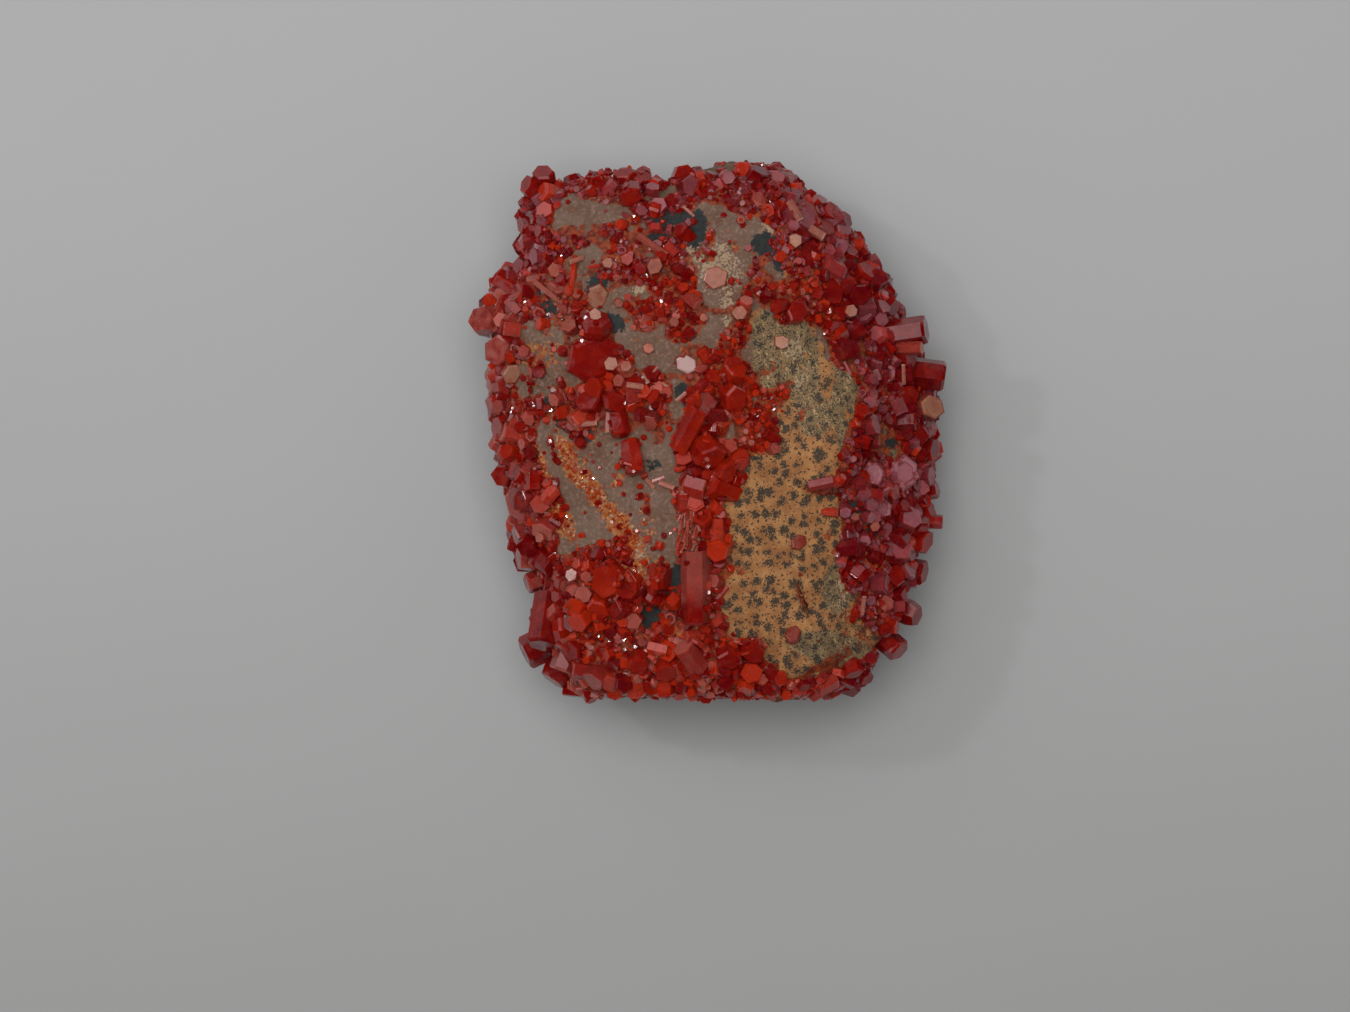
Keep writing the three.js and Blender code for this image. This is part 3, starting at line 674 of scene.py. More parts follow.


# ---- Crystals that stand out ----

# Small crystals with a place of their own, by habit: x, y, radius, length, the way it points
# (compass, then angle above the horizon), tint and bloom, a paler skin with painted sheen.
STANDING_OUT = {
    "bar": [
        (-14.9, 13.1, 0.3, 4.8, 322, 4, 0.6, 1.8), (-5.2, 18, 0.42, 3.3, 324, 6, 0.4, 1.2),
        (-1.6, 21.4, 0.2, 1.6, 318, 6, 0.6, 2.6), (-13, 15.1, 0.34, 2.8, 86, 4, 0.9, 0.1),
        (19.6, 5.6, 0.22, 2, 92, 8, 0.3, 2), (12.1, -8, 0.48, 1.7, 358, 4, 0.8, 0.4),
        (15.5, -17.2, 0.2, 1.9, 82, 6, 0.4, 2.2), (-6.9, 4.2, 0.3, 1.6, 352, 4, 0.6, 2.6),
        (-5.8, 5, 0.2, 1.1, 296, 12, 0.6, 3), (-3.9, 4.3, 0.17, 0.8, 322, 8, 0.6, 3),
        (-4.9, 5.8, 0.14, 0.7, 50, 10, 0.6, 3), (-11.7, 0.6, 0.3, 2.2, 5, 4, 0.5, 2.4),
        (-9.5, 0.7, 0.4, 2, 268, 10, 0.4, 1.4), (-2.4, 3.2, 0.2, 1.3, 40, 8, 0.6, 2.4),
        (-5.4, -5.2, 0.26, 1.2, 310, 12, 0.5, 2.4), (-3.8, -5.4, 0.28, 1.6, 340, 16, 0.6, 2.4),
        (-4.6, -4.8, 0.22, 1.3, 20, 14, 0.6, 2.4), (-12.6, 16.6, 0.24, 1.4, 200, 10, 0.5, 2),
        (10.4, 19.6, 0.44, 2.8, 328, 6, 0.3, 2), (8.7, 21.4, 0.42, 2.2, 300, 8, 0.3, 1.8),
    ],
    "plate": [
        (-14.7, 15.6, 0.85, 0.7, 60, 78, 0.7, 0.5), (-9.6, 16.2, 0.55, 0.7, 40, 74, 0.5, 1),
        (-5, 16, 0.9, 0.9, 300, 72, 0.5, 0.7), (-10.7, 11.1, 0.7, 0.5, 100, 76, 0.4, 1),
        (-9.2, 6.4, 0.72, 0.5, 200, 80, 0.5, 1), (-0.3, 10.9, 0.45, 0.6, 0, 76, 0.8, 0.7),
        (-5.6, 7.9, 0.55, 0.5, 30, 80, 0.9, 0.9), (0.9, 14.9, 1.2, 0.5, 0, 84, 0.6, 1),
        (3.4, 11.4, 0.8, 0.9, 200, 66, 0.6, 0.9), (7.4, 8.5, 0.8, 0.6, 0, 82, 0.8, 1.3),
        (14.2, 11.7, 0.7, 0.9, 20, 68, 0.4, 0.9), (14.5, -8.6, 0.5, 0.9, 60, 60, 0.2, 0.45),
        (16.6, -9.4, 0.55, 0.7, 0, 76, 0.4, 0.5), (-13.1, -14.2, 0.7, 0.8, 150, 66, 0.4, 0.75),
        (-16.1, -10.5, 0.55, 0.8, 180, 58, 0.4, 0.65), (-8.5, 12.4, 0.5, 0.7, 300, 70, 0.5, 0.6),
        (-7.9, 6.2, 0.6, 0.9, 320, 68, 0.7, 0.8), (8.7, 18.5, 0.75, 0.6, 20, 78, 0.6, 1.2),
        (20.2, 8.2, 0.7, 2.6, 0, 20, 0.5, 0.6),
    ],
    "barrel": [
        (-10, 19.3, 0.5, 1, 300, 50, 0.6, 0.1), (12.9, -4.9, 0.55, 1.4, 40, 30, 0.7, 0.1),
    ],
    "prism": [
        (-13.2, 10.1, 0.8, 1.1, 130, 60, 0.4, 0.4), (-3.2, 10.4, 0.5, 0.8, 20, 66, 0.6, 0.5),
        (19.5, 9.8, 1.4, 4.9, 8, 14, 0.2, 0), (11.3, -5.2, 0.62, 2.6, 12, 4, 0.5, 0.05),
    ],
    "hopper": [
        (3.4, 20.5, 0.42, 0.7, 0, 80, 0.8, 0.6),
    ],
}

# Thin plates that nearly fill the hollows of the skeletal crystals.
SKELETAL_CAPS = {
    "plate": [
        (19.6, -4.2, 1.5, 0.34, 14, 74, 0.3, 1.2), (16.4, -4.2, 1.2, 0.3, 206, 78, 0.4, 1.2),
        (17.2, -7.5, 1.05, 0.28, 300, 74, 0.2, 1),
    ],
}


def pointing(compass, pitch):
    """The direction at an angle in the plan and an angle above the horizon, in degrees."""
    turn, rise = math.radians(compass), math.radians(pitch)
    return np.array([math.cos(turn) * math.cos(rise), math.sin(turn) * math.cos(rise), math.sin(rise)])


def height_at(tree, x, y):
    """How high the surface is, looking straight down at a place."""
    return tree.ray_cast(Vector((x, y, 60)), Vector((0, 0, -1)))[0].z


def placed_site(tree, x, y, radius, length, compass, pitch, tint, bloom_and_sheen):
    """One row of a table of places as a root, a direction and the rest."""
    axis = pointing(compass, pitch)
    middle = np.array([x, y, 0]) + PLAN_MIDDLE
    middle[2] = height_at(tree, middle[0], middle[1]) + 0.1 * radius + 0.3 * length * axis[2]
    return middle - axis * 0.5 * length, axis, radius, length, tint, bloom_and_sheen


def make_placed(name, places, tree, material):
    """One piece of crystals that each have a place, half sunk into the surface below them."""
    groups = {}
    for habit, rows in places.items():
        sites = [placed_site(tree, *row) for row in rows]
        groups[habit] = site_table(*map(np.array, zip(*sites)))
    crystal_piece(name, groups, material, np.random.default_rng(8))


# The sheaf of thin glassy prisms below the crest.
SHEAF = {"x": (-2.6, -0.7), "y": (-12.4, -4.8), "count": 120, "radius": (0.08, 0.2), "length": (1.0, 2.8)}


def make_sheaf(tree, material):
    """Thin prisms that lie side by side on the rock, pointing down the crest."""
    rng = np.random.default_rng(12)
    count = SHEAF["count"]
    radius, length = rng.uniform(*SHEAF["radius"], count), rng.uniform(*SHEAF["length"], count)
    middle = np.stack([rng.uniform(*SHEAF["x"], count), rng.uniform(*SHEAF["y"], count), np.zeros(count)], 1)
    middle += PLAN_MIDDLE
    middle[:, 2] = [height_at(tree, x, y) for x, y, _ in middle]
    middle[:, 2] += rng.uniform(0.0, 0.5, count)
    axis = unit(pointing(262, 6) + 0.28 * rng.normal(size=(count, 3)))
    # The bloom gives many of these prisms a paler, pinkish face: painted sheen standing for their glassy
    # highlights, with a duller skin.
    tint, bloom_and_sheen = rng.uniform(0.5, 1, count), rng.uniform(0, 1.8, count)
    sites = site_table(middle - axis * 0.5 * length[:, None], axis, radius, length, tint, bloom_and_sheen)
    crystal_piece("glassy_sheaf", {"bar": sites}, material, rng)


def make_seedlings(material):
    """Small crystals in clumps on the sides of the large ones."""
    rng = np.random.default_rng(21)
    found = []
    for node in large_crystals():
        count = int(area_of(node.data) * SEEDLING_TRIES)
        found.append(surface_samples(node.data, count, rng))
    points, facing = (np.concatenate(part) for part in zip(*found))
    clumps = 0.5 + 0.5 * layered_noise(points, 1.6, 95)
    grows = (clumps > 0.64) & (facing[:, 2] < 0.8) & (np.abs(points[:, 0]) < 13)
    radii = rng.uniform(0.16, 0.34, len(points))
    grows &= inside_box(points, radii)
    points, facing, radii = only(grows, points, facing, radii)
    kept = spaced(points, radii, 0.6)
    groups = sites_on(*only(kept, points, facing, radii), 0.1, 0.3, rng)
    crystal_piece("seedlings", groups, material, rng)


def make_grains(rock, material):
    """Tiny orange and gold crystals in bands over the rock."""
    rng = np.random.default_rng(15)
    points, facing = surface_samples(rock.data, int(area_of(rock.data) * GRAIN_TRIES), rng)
    plan = points - PLAN_MIDDLE
    rusty = blobs(plan, RUSTY, 0.9) * smoothstep(0.3, 0.6, facing[:, 2])
    grows = rusty > 0.3 + 0.6 * (0.5 + 0.5 * layered_noise(points, 0.9, 91))
    points, facing = only(grows, points, facing)
    count = len(points)
    axis = unit(facing + 0.9 * rng.normal(size=points.shape))
    shines = rng.uniform(0, 1, count) < 0.02
    axis[shines] = glinting(points[shines])
    radius = rng.uniform(0.05, 0.15, count)
    length = radius * rng.uniform(1.2, 3, count)
    root, tint = points - axis * (0.2 * length)[:, None], rng.uniform(0, 1, count)
    sites = site_table(root, axis, radius, length, tint, np.zeros(count))
    crystal_piece("gold_grains", {"prism": sites}, material, rng)


# ---- Shader helpers ----

def add(tree, kind, inputs=None, **settings):
    """Makes a shader node; each input is a value or another node's output."""
    node = tree.nodes.new("ShaderNode" + kind)
    for key, value in settings.items():
        setattr(node, key, value)
    for key, value in (inputs or {}).items():
        if isinstance(value, bpy.types.NodeSocket):
            tree.links.new(value, node.inputs[key])
        else:
            node.inputs[key].default_value = value
    return node


def new_material(name):
    """An empty material: its node tree, and its Principled shader joined to the output."""
    material = bpy.data.materials.new(name)
    material.use_nodes = True
    tree = material.node_tree
    tree.nodes.clear()
    shader = add(tree, "BsdfPrincipled")
    add(tree, "OutputMaterial", {"Surface": shader.outputs[0]})
    return material, tree, shader


def arithmetic(tree, operation, a, b=0.0, c=0.0):
    return add(tree, "Math", {0: a, 1: b, 2: c}, operation=operation).outputs[0]


def times(tree, a, b):
    return arithmetic(tree, "MULTIPLY", a, b)


def linear(tree, value, factor, offset):
    """The value times the factor, plus the offset."""
    return arithmetic(tree, "MULTIPLY_ADD", value, factor, offset)


def vector_math(tree, operation, a, b):
    """A vector with another one, or with a number if it is to be scaled."""
    inputs = {0: a, ("Scale" if operation == "SCALE" else 1): b}
    return add(tree, "VectorMath", inputs, operation=operation).outputs[0]


def blended(tree, share, a, b, blend="MIX"):
    """Colour a, turning into colour b as share goes from 0 to 1."""
    mixer = add(tree, "Mix", {0: share, 6: a, 7: b}, data_type="RGBA", blend_type=blend)
    return mixer.outputs[2]


def between(tree, value, low, high):
    """0 where value is under low and 1 where it is over high, smooth in between."""
    inputs = {"Value": value, "From Min": low, "From Max": high}
    return add(tree, "MapRange", inputs, interpolation_type="SMOOTHSTEP").outputs[0]


def millimetres(tree):
    """Places on the model in millimetres, for patterns of a known size."""
    here = add(tree, "TexCoord").outputs["Object"]
    return vector_math(tree, "SCALE", here, 1 / MM)


def grain(tree, where, size, detail=3.0, roughness=0.6):
    """Noise from 0 to 1 whose lumps are about size millimetres."""
    inputs = {"Vector": where, "Scale": 1 / size, "Detail": detail, "Roughness": roughness}
    return add(tree, "TexNoise", inputs).outputs["Fac"]


def attribute(tree, name):
    return add(tree, "Attribute", attribute_name=name)


def colour(red, green, blue):
    return (red, green, blue, 1.0)


def bumped(tree, height, strength, depth):
    inputs = {"Height": height, "Strength": strength, "Distance": depth * MM}
    return add(tree, "Bump", inputs).outputs[0]


# ---- The rock's material ----

def ragged(tree, where, name, size, spread=0.5):
    """A painted area with its edge broken up by noise."""
    painted = attribute(tree, name).outputs["Fac"]
    wander = linear(tree, grain(tree, where, size), 2 * spread, -spread)
    return between(tree, arithmetic(tree, "ADD", painted, wander), 0.42, 0.58)


def flat_cells(tree, where, size):
    """How far each place is from the middle of its cell, seen from the front."""
    inputs = {"Vector": where, "Scale": 1 / size}
    return add(tree, "TexVoronoi", inputs, voronoi_dimensions="2D").outputs["Distance"]


def crack_shade_line(tree, where):
    """1 along the crack in the ochre face, where painted shade darkens the groove."""
    x, y, rx, ry, turn = CRACK
    wander = add(tree, "TexNoise", {"Vector": where, "Scale": 1.2}).outputs["Color"]
    shifted = vector_math(tree, "ADD", where, vector_math(tree, "SUBTRACT", wander, (0.5, 0.5, 0)))
    inputs = {
        "Vector": shifted, "Location": (x + PLAN_MIDDLE[0], y + PLAN_MIDDLE[1], 0),
        "Rotation": (0, 0, math.radians(turn)), "Scale": (0.8 * rx, ry, 1000),
    }
    local = add(tree, "Mapping", inputs, vector_type="TEXTURE").outputs[0]
    reach = add(tree, "VectorMath", {0: local}, operation="LENGTH").outputs["Value"]
    return between(tree, reach, 1.1, 0.6)


def fibres(tree, where):
    """Fine straw-like streaks that run down to the right, 0 to 1."""
    inputs = {"Vector": where, "Rotation": (0, 0, math.radians(28)), "Scale": (0.28, 1.3, 1)}
    streaked = add(tree, "Mapping", inputs, vector_type="TEXTURE").outputs[0]
    return grain(tree, streaked, 1.0, 4.0, 0.75)


def dendrites(tree, where):
    """Little black branching spots: how near the middle of one, 1 on it, and where it is mossy."""
    wander = add(tree, "TexNoise", {"Vector": where, "Scale": 1.6, "Detail": 2.0}).outputs["Color"]
    warped = vector_math(tree, "ADD", where, vector_math(tree, "SCALE", wander, 0.8))
    group = flat_cells(tree, warped, 1.25)
    mossy = ragged(tree, where, "mossy", 1.2, 0.4)
    reach = linear(tree, grain(tree, where, 1.6), 0.8, 0.0)
    reach = linear(tree, mossy, -0.12, reach)
    near_group = between(tree, arithmetic(tree, "SUBTRACT", reach, group), -0.2, 0.36)
    crowded = linear(tree, near_group, 0.36, grain(tree, where, 0.15, 1.0))
    branches = between(tree, crowded, 0.67, 0.74)
    on_speck = between(tree, flat_cells(tree, warped, 0.56), 0.2, 0.13)
    pepper = times(tree, between(tree, grain(tree, where, 0.14, 1.0), 0.56, 0.62), mossy)
    spot = arithmetic(tree, "MAXIMUM", arithmetic(tree, "MAXIMUM", branches, on_speck), pepper)
    return near_group, spot, mossy


def matrix_colour(tree, where):
    """The grey-brown, sugary body of the rock."""
    clouds = grain(tree, where, 4.0, 4.0)
    sugar = grain(tree, where, 0.35, 2.0)
    warm, cool = colour(0.125, 0.066, 0.042), colour(0.155, 0.1, 0.072)
    body = blended(tree, between(tree, clouds, 0.35, 0.65), warm, cool)
    body = blended(tree, between(tree, sugar, 0.45, 0.8), body, colour(0.26, 0.165, 0.125))
    specks = between(tree, grain(tree, where, 0.7), 0.52, 0.75)
    body = blended(tree, times(tree, specks, 0.7), body, colour(0.09, 0.045, 0.032))
    golden = between(tree, grain(tree, where, 0.22, 1.0), 0.71, 0.78)
    return blended(tree, golden, body, colour(0.36, 0.2, 0.1))


def ochre_colour(tree, where):
    """The ochre face with its dendrites, greyer where it is mossy."""
    near_group, spot, mossy = dendrites(tree, where)
    clouds = between(tree, grain(tree, where, 1.6, 5.0), 0.3, 0.7)
    body = blended(tree, clouds, colour(0.25, 0.1, 0.036), colour(0.39, 0.185, 0.07))
    sand = between(tree, grain(tree, where, 0.3, 3.0), 0.54, 0.7)
    body = blended(tree, times(tree, sand, 0.4), body, colour(0.48, 0.28, 0.12))
    moss = blended(tree, clouds, colour(0.12, 0.092, 0.055), colour(0.24, 0.165, 0.082))
    body = blended(tree, times(tree, mossy, 0.8), body, moss)
    straw = between(tree, fibres(tree, where), 0.53, 0.66)
    body = blended(tree, times(tree, straw, mossy), body, colour(0.44, 0.3, 0.15))
    body = blended(tree, times(tree, near_group, 0.35), body, colour(0.13, 0.09, 0.05))
    # Painted shade: the crack is darkened to stand for the shade inside its narrow groove.
    body = blended(tree, crack_shade_line(tree, where), body, colour(0.05, 0.01, 0.008))
    return blended(tree, times(tree, spot, 0.92), body, colour(0.034, 0.03, 0.025))


def rust_colour(tree, where):
    """Orange to red-brown, with sandy flecks."""
    patches = between(tree, grain(tree, where, 0.9, 3.0), 0.42, 0.58)
    body = blended(tree, patches, colour(0.28, 0.04, 0.01), colour(0.4, 0.13, 0.025))
    flecks = between(tree, grain(tree, where, 0.3, 2.0), 0.56, 0.64)
    return blended(tree, flecks, body, colour(0.4, 0.27, 0.15))


def crust_ground_and_gap_shade(tree, where):
    """The fine red and orange druse between the crystals; its dark red is partly painted shade that makes
    the gaps between them look deep.
    """
    fine = between(tree, grain(tree, where, 0.5, 2.0), 0.35, 0.65)
    return blended(tree, fine, colour(0.1, 0.012, 0.006), colour(0.3, 0.045, 0.012))


def rock_material():
    """The rock's colours, laid over each other where paint_rock put them."""
    material, tree, shader = new_material("matrix_rock")
    where = millimetres(tree)
    shade = matrix_colour(tree, where)
    shade = blended(tree, ragged(tree, where, "greenish", 1.5), shade, colour(0.15, 0.098, 0.064))
    shade = blended(tree, ragged(tree, where, "ochre", 1.2, 0.3), shade, ochre_colour(tree, where))
    pale = times(tree, ragged(tree, where, "pale", 0.3, 1.0), 0.8)
    shade = blended(tree, pale, shade, colour(0.38, 0.27, 0.17))
    crusted = ragged(tree, where, "crusted", 0.7, 0.5)
    # The crust's ground is red druse, darkened in part by painted shade so that the gaps between crystals
    # look deep.
    shade = blended(tree, times(tree, crusted, 0.85), shade, crust_ground_and_gap_shade(tree, where))
    rusty = times(tree, ragged(tree, where, "rusty", 0.7, 1.5), 0.7)
    shade = blended(tree, rusty, shade, rust_colour(tree, where))
    dark = ragged(tree, where, "dark", 0.45, 1.0)
    inky = blended(tree, grain(tree, where, 0.4), colour(0.01, 0.013, 0.014), colour(0.045, 0.048, 0.044))
    shade = blended(tree, dark, shade, inky)
    tree.links.new(shade, shader.inputs["Base Color"])
    rough = linear(tree, dark, -0.2, 0.72)
    tree.links.new(rough, shader.inputs["Roughness"])
    shader.inputs["Specular IOR Level"].default_value = 0.25
    coarse, fine = grain(tree, where, 0.9, 5.0, 0.7), grain(tree, where, 0.18)
    height = linear(tree, fine, 0.35, coarse)
    tree.links.new(bumped(tree, height, 0.7, 0.25), shader.inputs["Normal"])
    return material


# ---- Vanadinite ----

CHERRY = colour(0.12, 0.001, 0.003)
BLOOD_RED = colour(0.2, 0.003, 0.002)
ORANGE_RED = colour(0.39, 0.02, 0.004)
# ROSE to WHITISH are bloom colours: partly a paler, duller skin and partly painted sheen, the reflection of
# the lights on faces turned to them.
ROSE = colour(0.4, 0.12, 0.09)
PEACH = colour(0.44, 0.23, 0.165)
LILAC = colour(0.33, 0.12, 0.14)
BRICK = colour(0.22, 0.048, 0.03)
TAN = colour(0.28, 0.125, 0.075)
WHITISH = colour(0.5, 0.33, 0.3)


def vanadinite_material(name, tint, zoning, bloom_and_sheen, bloom_and_sheen_shade):
    """Red, resinous and a little translucent. Tint goes from deep cherry to orange-red, and bloom
    is how far a face is paler and duller: partly a weathered skin, and partly painted sheen,
    the pink reflection of the lights on faces turned to them."""
    material, tree, shader = new_material(name)
    where = millimetres(tree)
    tint, zoning, bloom_and_sheen = tint(tree, where), zoning(tree, where), bloom_and_sheen(tree, where)
    deep = blended(tree, between(tree, tint, 0.1, 0.5), CHERRY, BLOOD_RED)
    body = blended(tree, between(tree, tint, 0.5, 0.95), deep, ORANGE_RED)
    clouds = between(tree, grain(tree, where, 1.1, 3.0), 0.4, 0.75)
    body = blended(tree, times(tree, clouds, 0.35), body, ORANGE_RED)
    darker = times(tree, between(tree, zoning, 0.5, 0.7), 0.4)
    body = blended(tree, darker, body, CHERRY)
    # The bloom colour is partly a paler, duller skin and partly painted sheen, the lights' reflection
    # painted onto the faces.
    body = blended(tree, bloom_and_sheen, body, bloom_and_sheen_shade)
    tree.links.new(body, shader.inputs["Base Color"])
    scuffed = linear(tree, between(tree, grain(tree, where, 1.3), 0.35, 0.65), 0.28, 0.04)
    scuffed = linear(tree, bloom_and_sheen, 0.25, scuffed)
    tree.links.new(scuffed, shader.inputs["Roughness"])
    shader.inputs["IOR"].default_value = 1.7
    shader.inputs["Subsurface Weight"].default_value = 0.65
    shader.inputs["Subsurface Radius"].default_value = (1.0, 0.12, 0.05)
    shader.inputs["Subsurface Scale"].default_value = 0.9 * MM
    height = linear(tree, grain(tree, where, 0.25), 0.4, zoning)
    tree.links.new(bumped(tree, height, 0.4, 0.05), shader.inputs["Normal"])
    return material


def own_part(tree, axis):
    """One number of a small crystal's own: X its share of the radius, Y of the length, Z its tint."""
    own = add(tree, "SeparateXYZ", {0: attribute(tree, "own").outputs["Vector"]})
    return own.outputs[axis]


def own_tint(tree, _where):
    return own_part(tree, "Z")


def own_zoning(tree, _where):
    """Growth rings on a crystal's flat end and growth bands along its sides."""
    own = attribute(tree, "own").outputs["Vector"]
    stretched = vector_math(tree, "MULTIPLY", own, (5.0, 4.0, 60.0))
    return add(tree, "TexNoise", {"Vector": stretched, "Scale": 1.0, "Detail": 2.0}).outputs["Fac"]


def own_bloom_and_sheen(tree, where):
    """Paler skin and painted sheen, strongest on the flat end."""
    flat_end = linear(tree, between(tree, own_part(tree, "Y"), 0.94, 1.0), 0.7, 0.3)
    mottled = linear(tree, grain(tree, where, 0.5), 0.7, 0.35)
    amount = times(tree, attribute(tree, "bloom_and_sheen").outputs["Fac"], flat_end)
    return times(tree, amount, mottled)


def patchy_tint(middle):
    """A large crystal's tint, which wanders by a quarter to each side of its middle."""
    return lambda tree, where: linear(tree, grain(tree, where, 3.0, 1.0), 0.5, middle - 0.25)


def patchy_zoning(tree, where):
    return grain(tree, where, 0.8, 3.0)


def fading_bloom_and_sheen(tree, where):
    """The long prism is pale at its upper end, partly a paler skin and partly painted sheen, and clear red
    at its lower.
    """
    y = add(tree, "SeparateXYZ", {0: where}).outputs["Y"]
    wavy = linear(tree, grain(tree, where, 1.2, 3.0), 2.4, y)
    return times(tree, between(tree, wavy, -17.0, -13.6), 0.36)


def dusty_bloom_and_sheen(amount, softness=0.4):
    """Paler skin and painted sheen, mostly on the faces that look up, where the overhead light's reflection
    is painted in, and in patches whose edges are soft or sharp.
    """
    def bloom_and_sheen(tree, where):
        up = add(tree, "SeparateXYZ", {0: add(tree, "NewGeometry").outputs["Normal"]}).outputs["Z"]
        # Painted sheen: faces that look up are made paler, standing for the overhead light's reflection.
        facing = linear(tree, between(tree, up, 0.6, 0.95), 0.7 * amount, 0.3 * amount)
        patches = between(tree, grain(tree, where, 0.9, 4.0), 0.5 - softness, 0.5 + softness)
        mottled = linear(tree, patches, 1.2, 0.35)
        return times(tree, facing, mottled)
    return bloom_and_sheen


def grain_material():
    """Tiny glassy orange and gold crystals."""
    material, tree, shader = new_material("gold_grain")
    where = millimetres(tree)
    own = own_tint(tree, where)
    body = blended(tree, between(tree, own, 0.3, 0.8), colour(0.32, 0.03, 0.006), colour(0.42, 0.12, 0.022))
    body = blended(tree, between(tree, own, 0.82, 1.0), body, colour(0.5, 0.33, 0.2))
    tree.links.new(body, shader.inputs["Base Color"])
    shader.inputs["Roughness"].default_value = 0.12
    shader.inputs["IOR"].default_value = 1.7
    return material


# How each kind of large crystal looks: tint, bloom and the colour of its bloom, which is partly a paler skin
# and partly painted sheen.
LOOKS = {
    "deep": (0.25, dusty_bloom_and_sheen(0.02), ROSE), "red": (0.45, dusty_bloom_and_sheen(0.02), ROSE),
    "bright": (0.68, dusty_bloom_and_sheen(0.02), ROSE), "dull": (0.45, dusty_bloom_and_sheen(0.5, 0.2), ROSE),
    "tan": (0.55, dusty_bloom_and_sheen(1.0), TAN), "pale": (0.6, dusty_bloom_and_sheen(1.2), WHITISH),
    "lilac": (0.3, dusty_bloom_and_sheen(0.9, 0.08), LILAC), "amber": (0.75, dusty_bloom_and_sheen(0.45), TAN),
    "two_toned": (0.3, fading_bloom_and_sheen, ROSE), "veiled": (0.35, dusty_bloom_and_sheen(0.75), BRICK),
}
# The crystals that don't look plain red.
LOOKING = {
    "deep": [
        "round_disc", "rim_hexagon_top", "rim_cherry", "rim_spur", "rim_low_upper", "rim_low_lower",
        "bottom_right_corner", "shoulder_deep", "corner_hood",
    ],
    "tan": [
        "rim_hexagon_face", "shoulder_pale", "pale_hexagon", "left_tile",
    ],
    "lilac": [
        "skeletal_large", "skeletal_left", "skeletal_low", "flank_disc",
    ],
    "dull": [
        "flank_pale_disc", "top_right_low", "pink_hexagon", "left_shelf", "left_disc_upper",
        "left_disc_lower",
    ],
    "veiled": [
        "ochre_disc_upper", "ochre_disc_lower", "ochre_lip_pair",
    ],
    "two_toned": [
        "long_prism",
    ],
    "bright": [
        "crest_edge_disc", "crest_deep", "crest_right", "drop_prism", "lower_boss",
    ],
    "pale": [
        "bright_hexagon", "left_glint",
    ],
    "amber": [
        "plate_follower", "left_amber",
    ],
}


def finish_cad_crystals():
    """The large crystals keep their solids and get worn edges and the vanadinite look."""
    looks = {
        look: vanadinite_material("vanadinite_" + look, patchy_tint(tint), patchy_zoning, bloom_and_sheen, shade)
        for look, (tint, bloom_and_sheen, shade) in LOOKS.items()
    }
    look_of = {name: look for look, names in LOOKING.items() for name in names}
    for name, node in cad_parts.items():
        if name == "matrix":
            continue
        node.data.materials.clear()
        node.data.materials.append(looks[look_of.get(name, "red")])
        bevel = node.modifiers.new("worn_edges", "BEVEL")
        bevel.width = 0.07 * MM
        bevel.segments = 2
        bevel.limit_method = "ANGLE"
        bevel.angle_limit = math.radians(25)


# ---- Stage ----

VIEW_MIDDLE = (-3.0, -7.4)  # plan millimetres
VIEW_WIDTH = 133.6  # millimetres across the picture at the rim's height
VIEW_LEVEL = 15  # the rim's height in millimetres
SENSOR_WIDTH = 36


def make_camera():
    """Straight above, with the photograph's framing."""
    data = bpy.data.cameras.new("camera")
    camera = link(bpy.data.objects.new("camera", data))
    x, y = VIEW_MIDDLE[0] + PLAN_MIDDLE[0], VIEW_MIDDLE[1] + PLAN_MIDDLE[1]
    camera.location = (x * MM, y * MM, CAMERA_HEIGHT * MM)
    data.sensor_width = SENSOR_WIDTH
    data.lens = SENSOR_WIDTH * (CAMERA_HEIGHT - VIEW_LEVEL) / VIEW_WIDTH
    bpy.context.scene.camera = camera


def area_light(name, place, size, watts, warmth=(1, 1, 1)):
    """A square light aimed at the middle of the rock."""
    data = bpy.data.lights.new(name, "AREA")
    data.size = size
    data.energy = watts
    data.color = warmth
    light = link(bpy.data.objects.new(name, data))
    light.location = place
    light.rotation_euler = (Vector(place) - Vector((0, 0, 0.012))).to_track_quat("Z", "Y").to_euler()
    return light


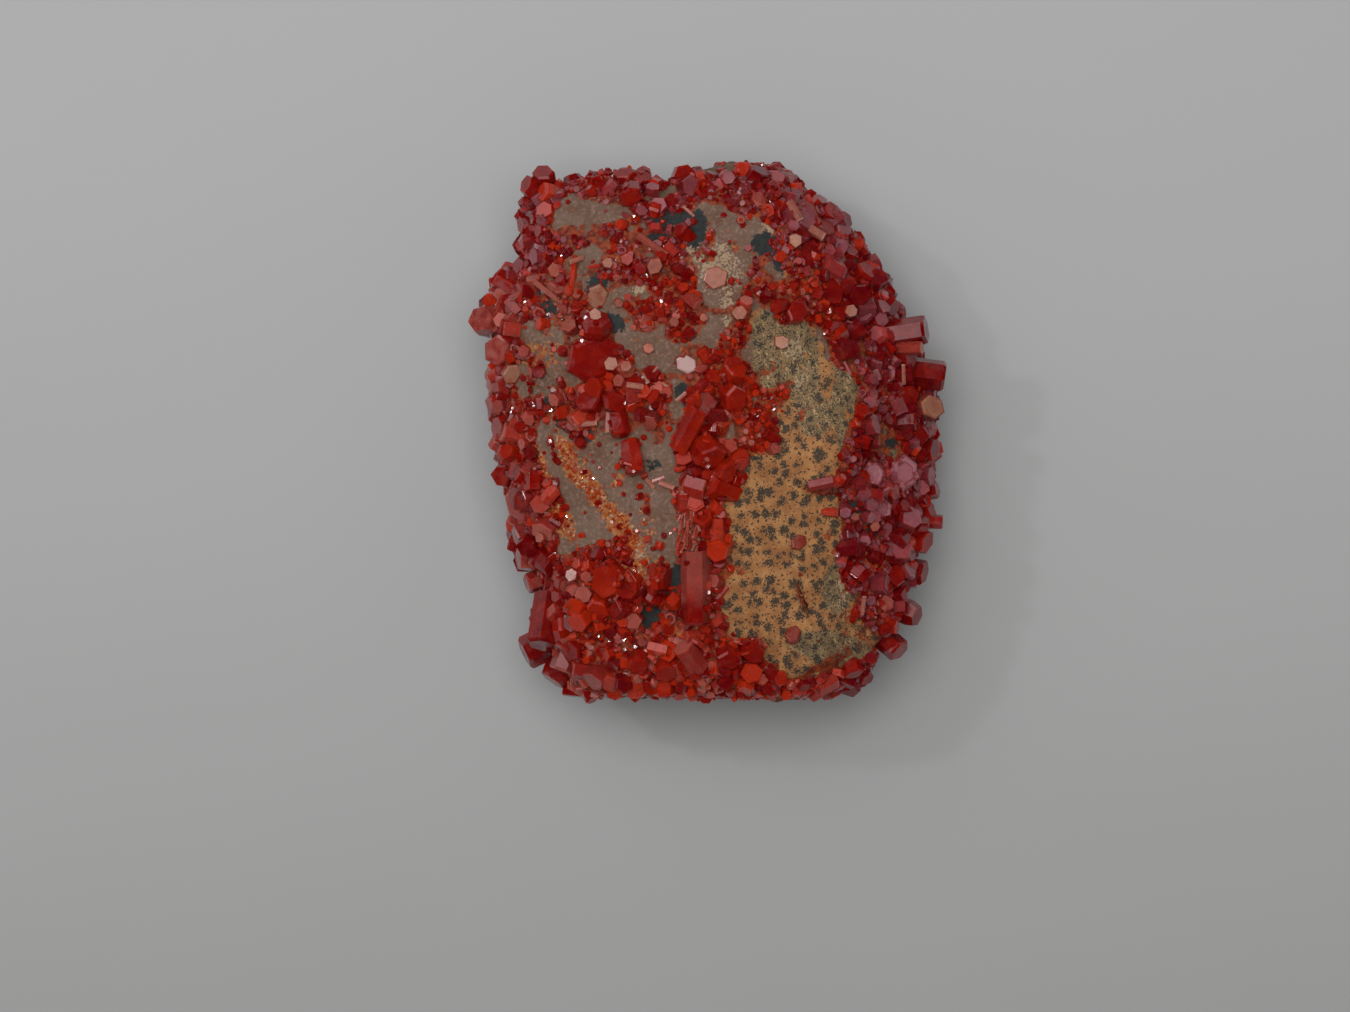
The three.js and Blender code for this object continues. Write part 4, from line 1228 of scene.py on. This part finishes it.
def make_lights():
    """An overhead light and a grey room that aren't seen in the gloss, a pane that shines softly on
    the faces turned to it, and a small bright window for the glints."""
    area_light("ceiling", (-0.02, 0.06, 0.75), 0.42, 3.6).visible_glossy = False
    area_light("pane", (-0.3, 0.25, 0.6), 0.55, 1.15, (1, 0.96, 0.97))
    area_light("window", WINDOW, 0.05, 0.7, (0.93, 0.96, 1))
    world = bpy.data.worlds.new("room")
    bpy.context.scene.world = world
    world.use_nodes = True
    world.node_tree.nodes["Background"].inputs["Color"].default_value = colour(0.25, 0.25, 0.25)
    world.cycles_visibility.glossy = False


def make_floor():
    """A pale sheet, a little darker towards the front right: painted shade that stands for the light falling
    off across it.
    """
    material, tree, shader = new_material("floor")
    where = millimetres(tree)
    place = add(tree, "SeparateXYZ", {0: where})
    # Painted shade: the sheet's colour darkens towards the front right as the light falls off.
    ahead = linear(tree, place.outputs["Y"], 0.0062, 0.68)
    ahead = linear(tree, place.outputs["X"], -0.0003, ahead)
    darker, paler = colour(0.285, 0.285, 0.28), colour(0.395, 0.395, 0.395)
    shade = blended(tree, between(tree, ahead, 0, 1), darker, paler)
    shade = blended(tree, grain(tree, where, 30.0, 6.0), shade, colour(0.97, 0.97, 0.97), "MULTIPLY")
    tree.links.new(shade, shader.inputs["Base Color"])
    shader.inputs["Roughness"].default_value = 0.8
    mesh = bpy.data.meshes.new("floor")
    mesh.from_pydata([(-3, -3, 0), (3, -3, 0), (3, 3, 0), (-3, 3, 0)], [], [(0, 1, 2, 3)])
    mesh.materials.append(material)
    link(bpy.data.objects.new("floor", mesh))


# ---- The scene ----

rock = make_rock()
rock_surface = surface_of([rock])
rosy = vanadinite_material("crust_rosy", own_tint, own_zoning, own_bloom_and_sheen, ROSE)
lilac = vanadinite_material("crust_lilac", own_tint, own_zoning, own_bloom_and_sheen, LILAC)
finish_cad_crystals()
crust = make_crust(rock, rosy, lilac)
peach = vanadinite_material("standing_out_peach", own_tint, own_zoning, own_bloom_and_sheen, PEACH)
top_surface = surface_of([rock, *large_crystals(), *crust])
make_placed("standing_out_crystals", STANDING_OUT, top_surface, peach)
make_placed("skeletal_caps", SKELETAL_CAPS, surface_of(large_crystals()), lilac)
make_seedlings(rosy)
make_sheaf(rock_surface, vanadinite_material("glassy_sheaf", own_tint, own_zoning, own_bloom_and_sheen, PEACH))
make_grains(rock, grain_material())
make_floor()
make_lights()
make_camera()
bpy.context.scene.view_settings.view_transform = "Standard"
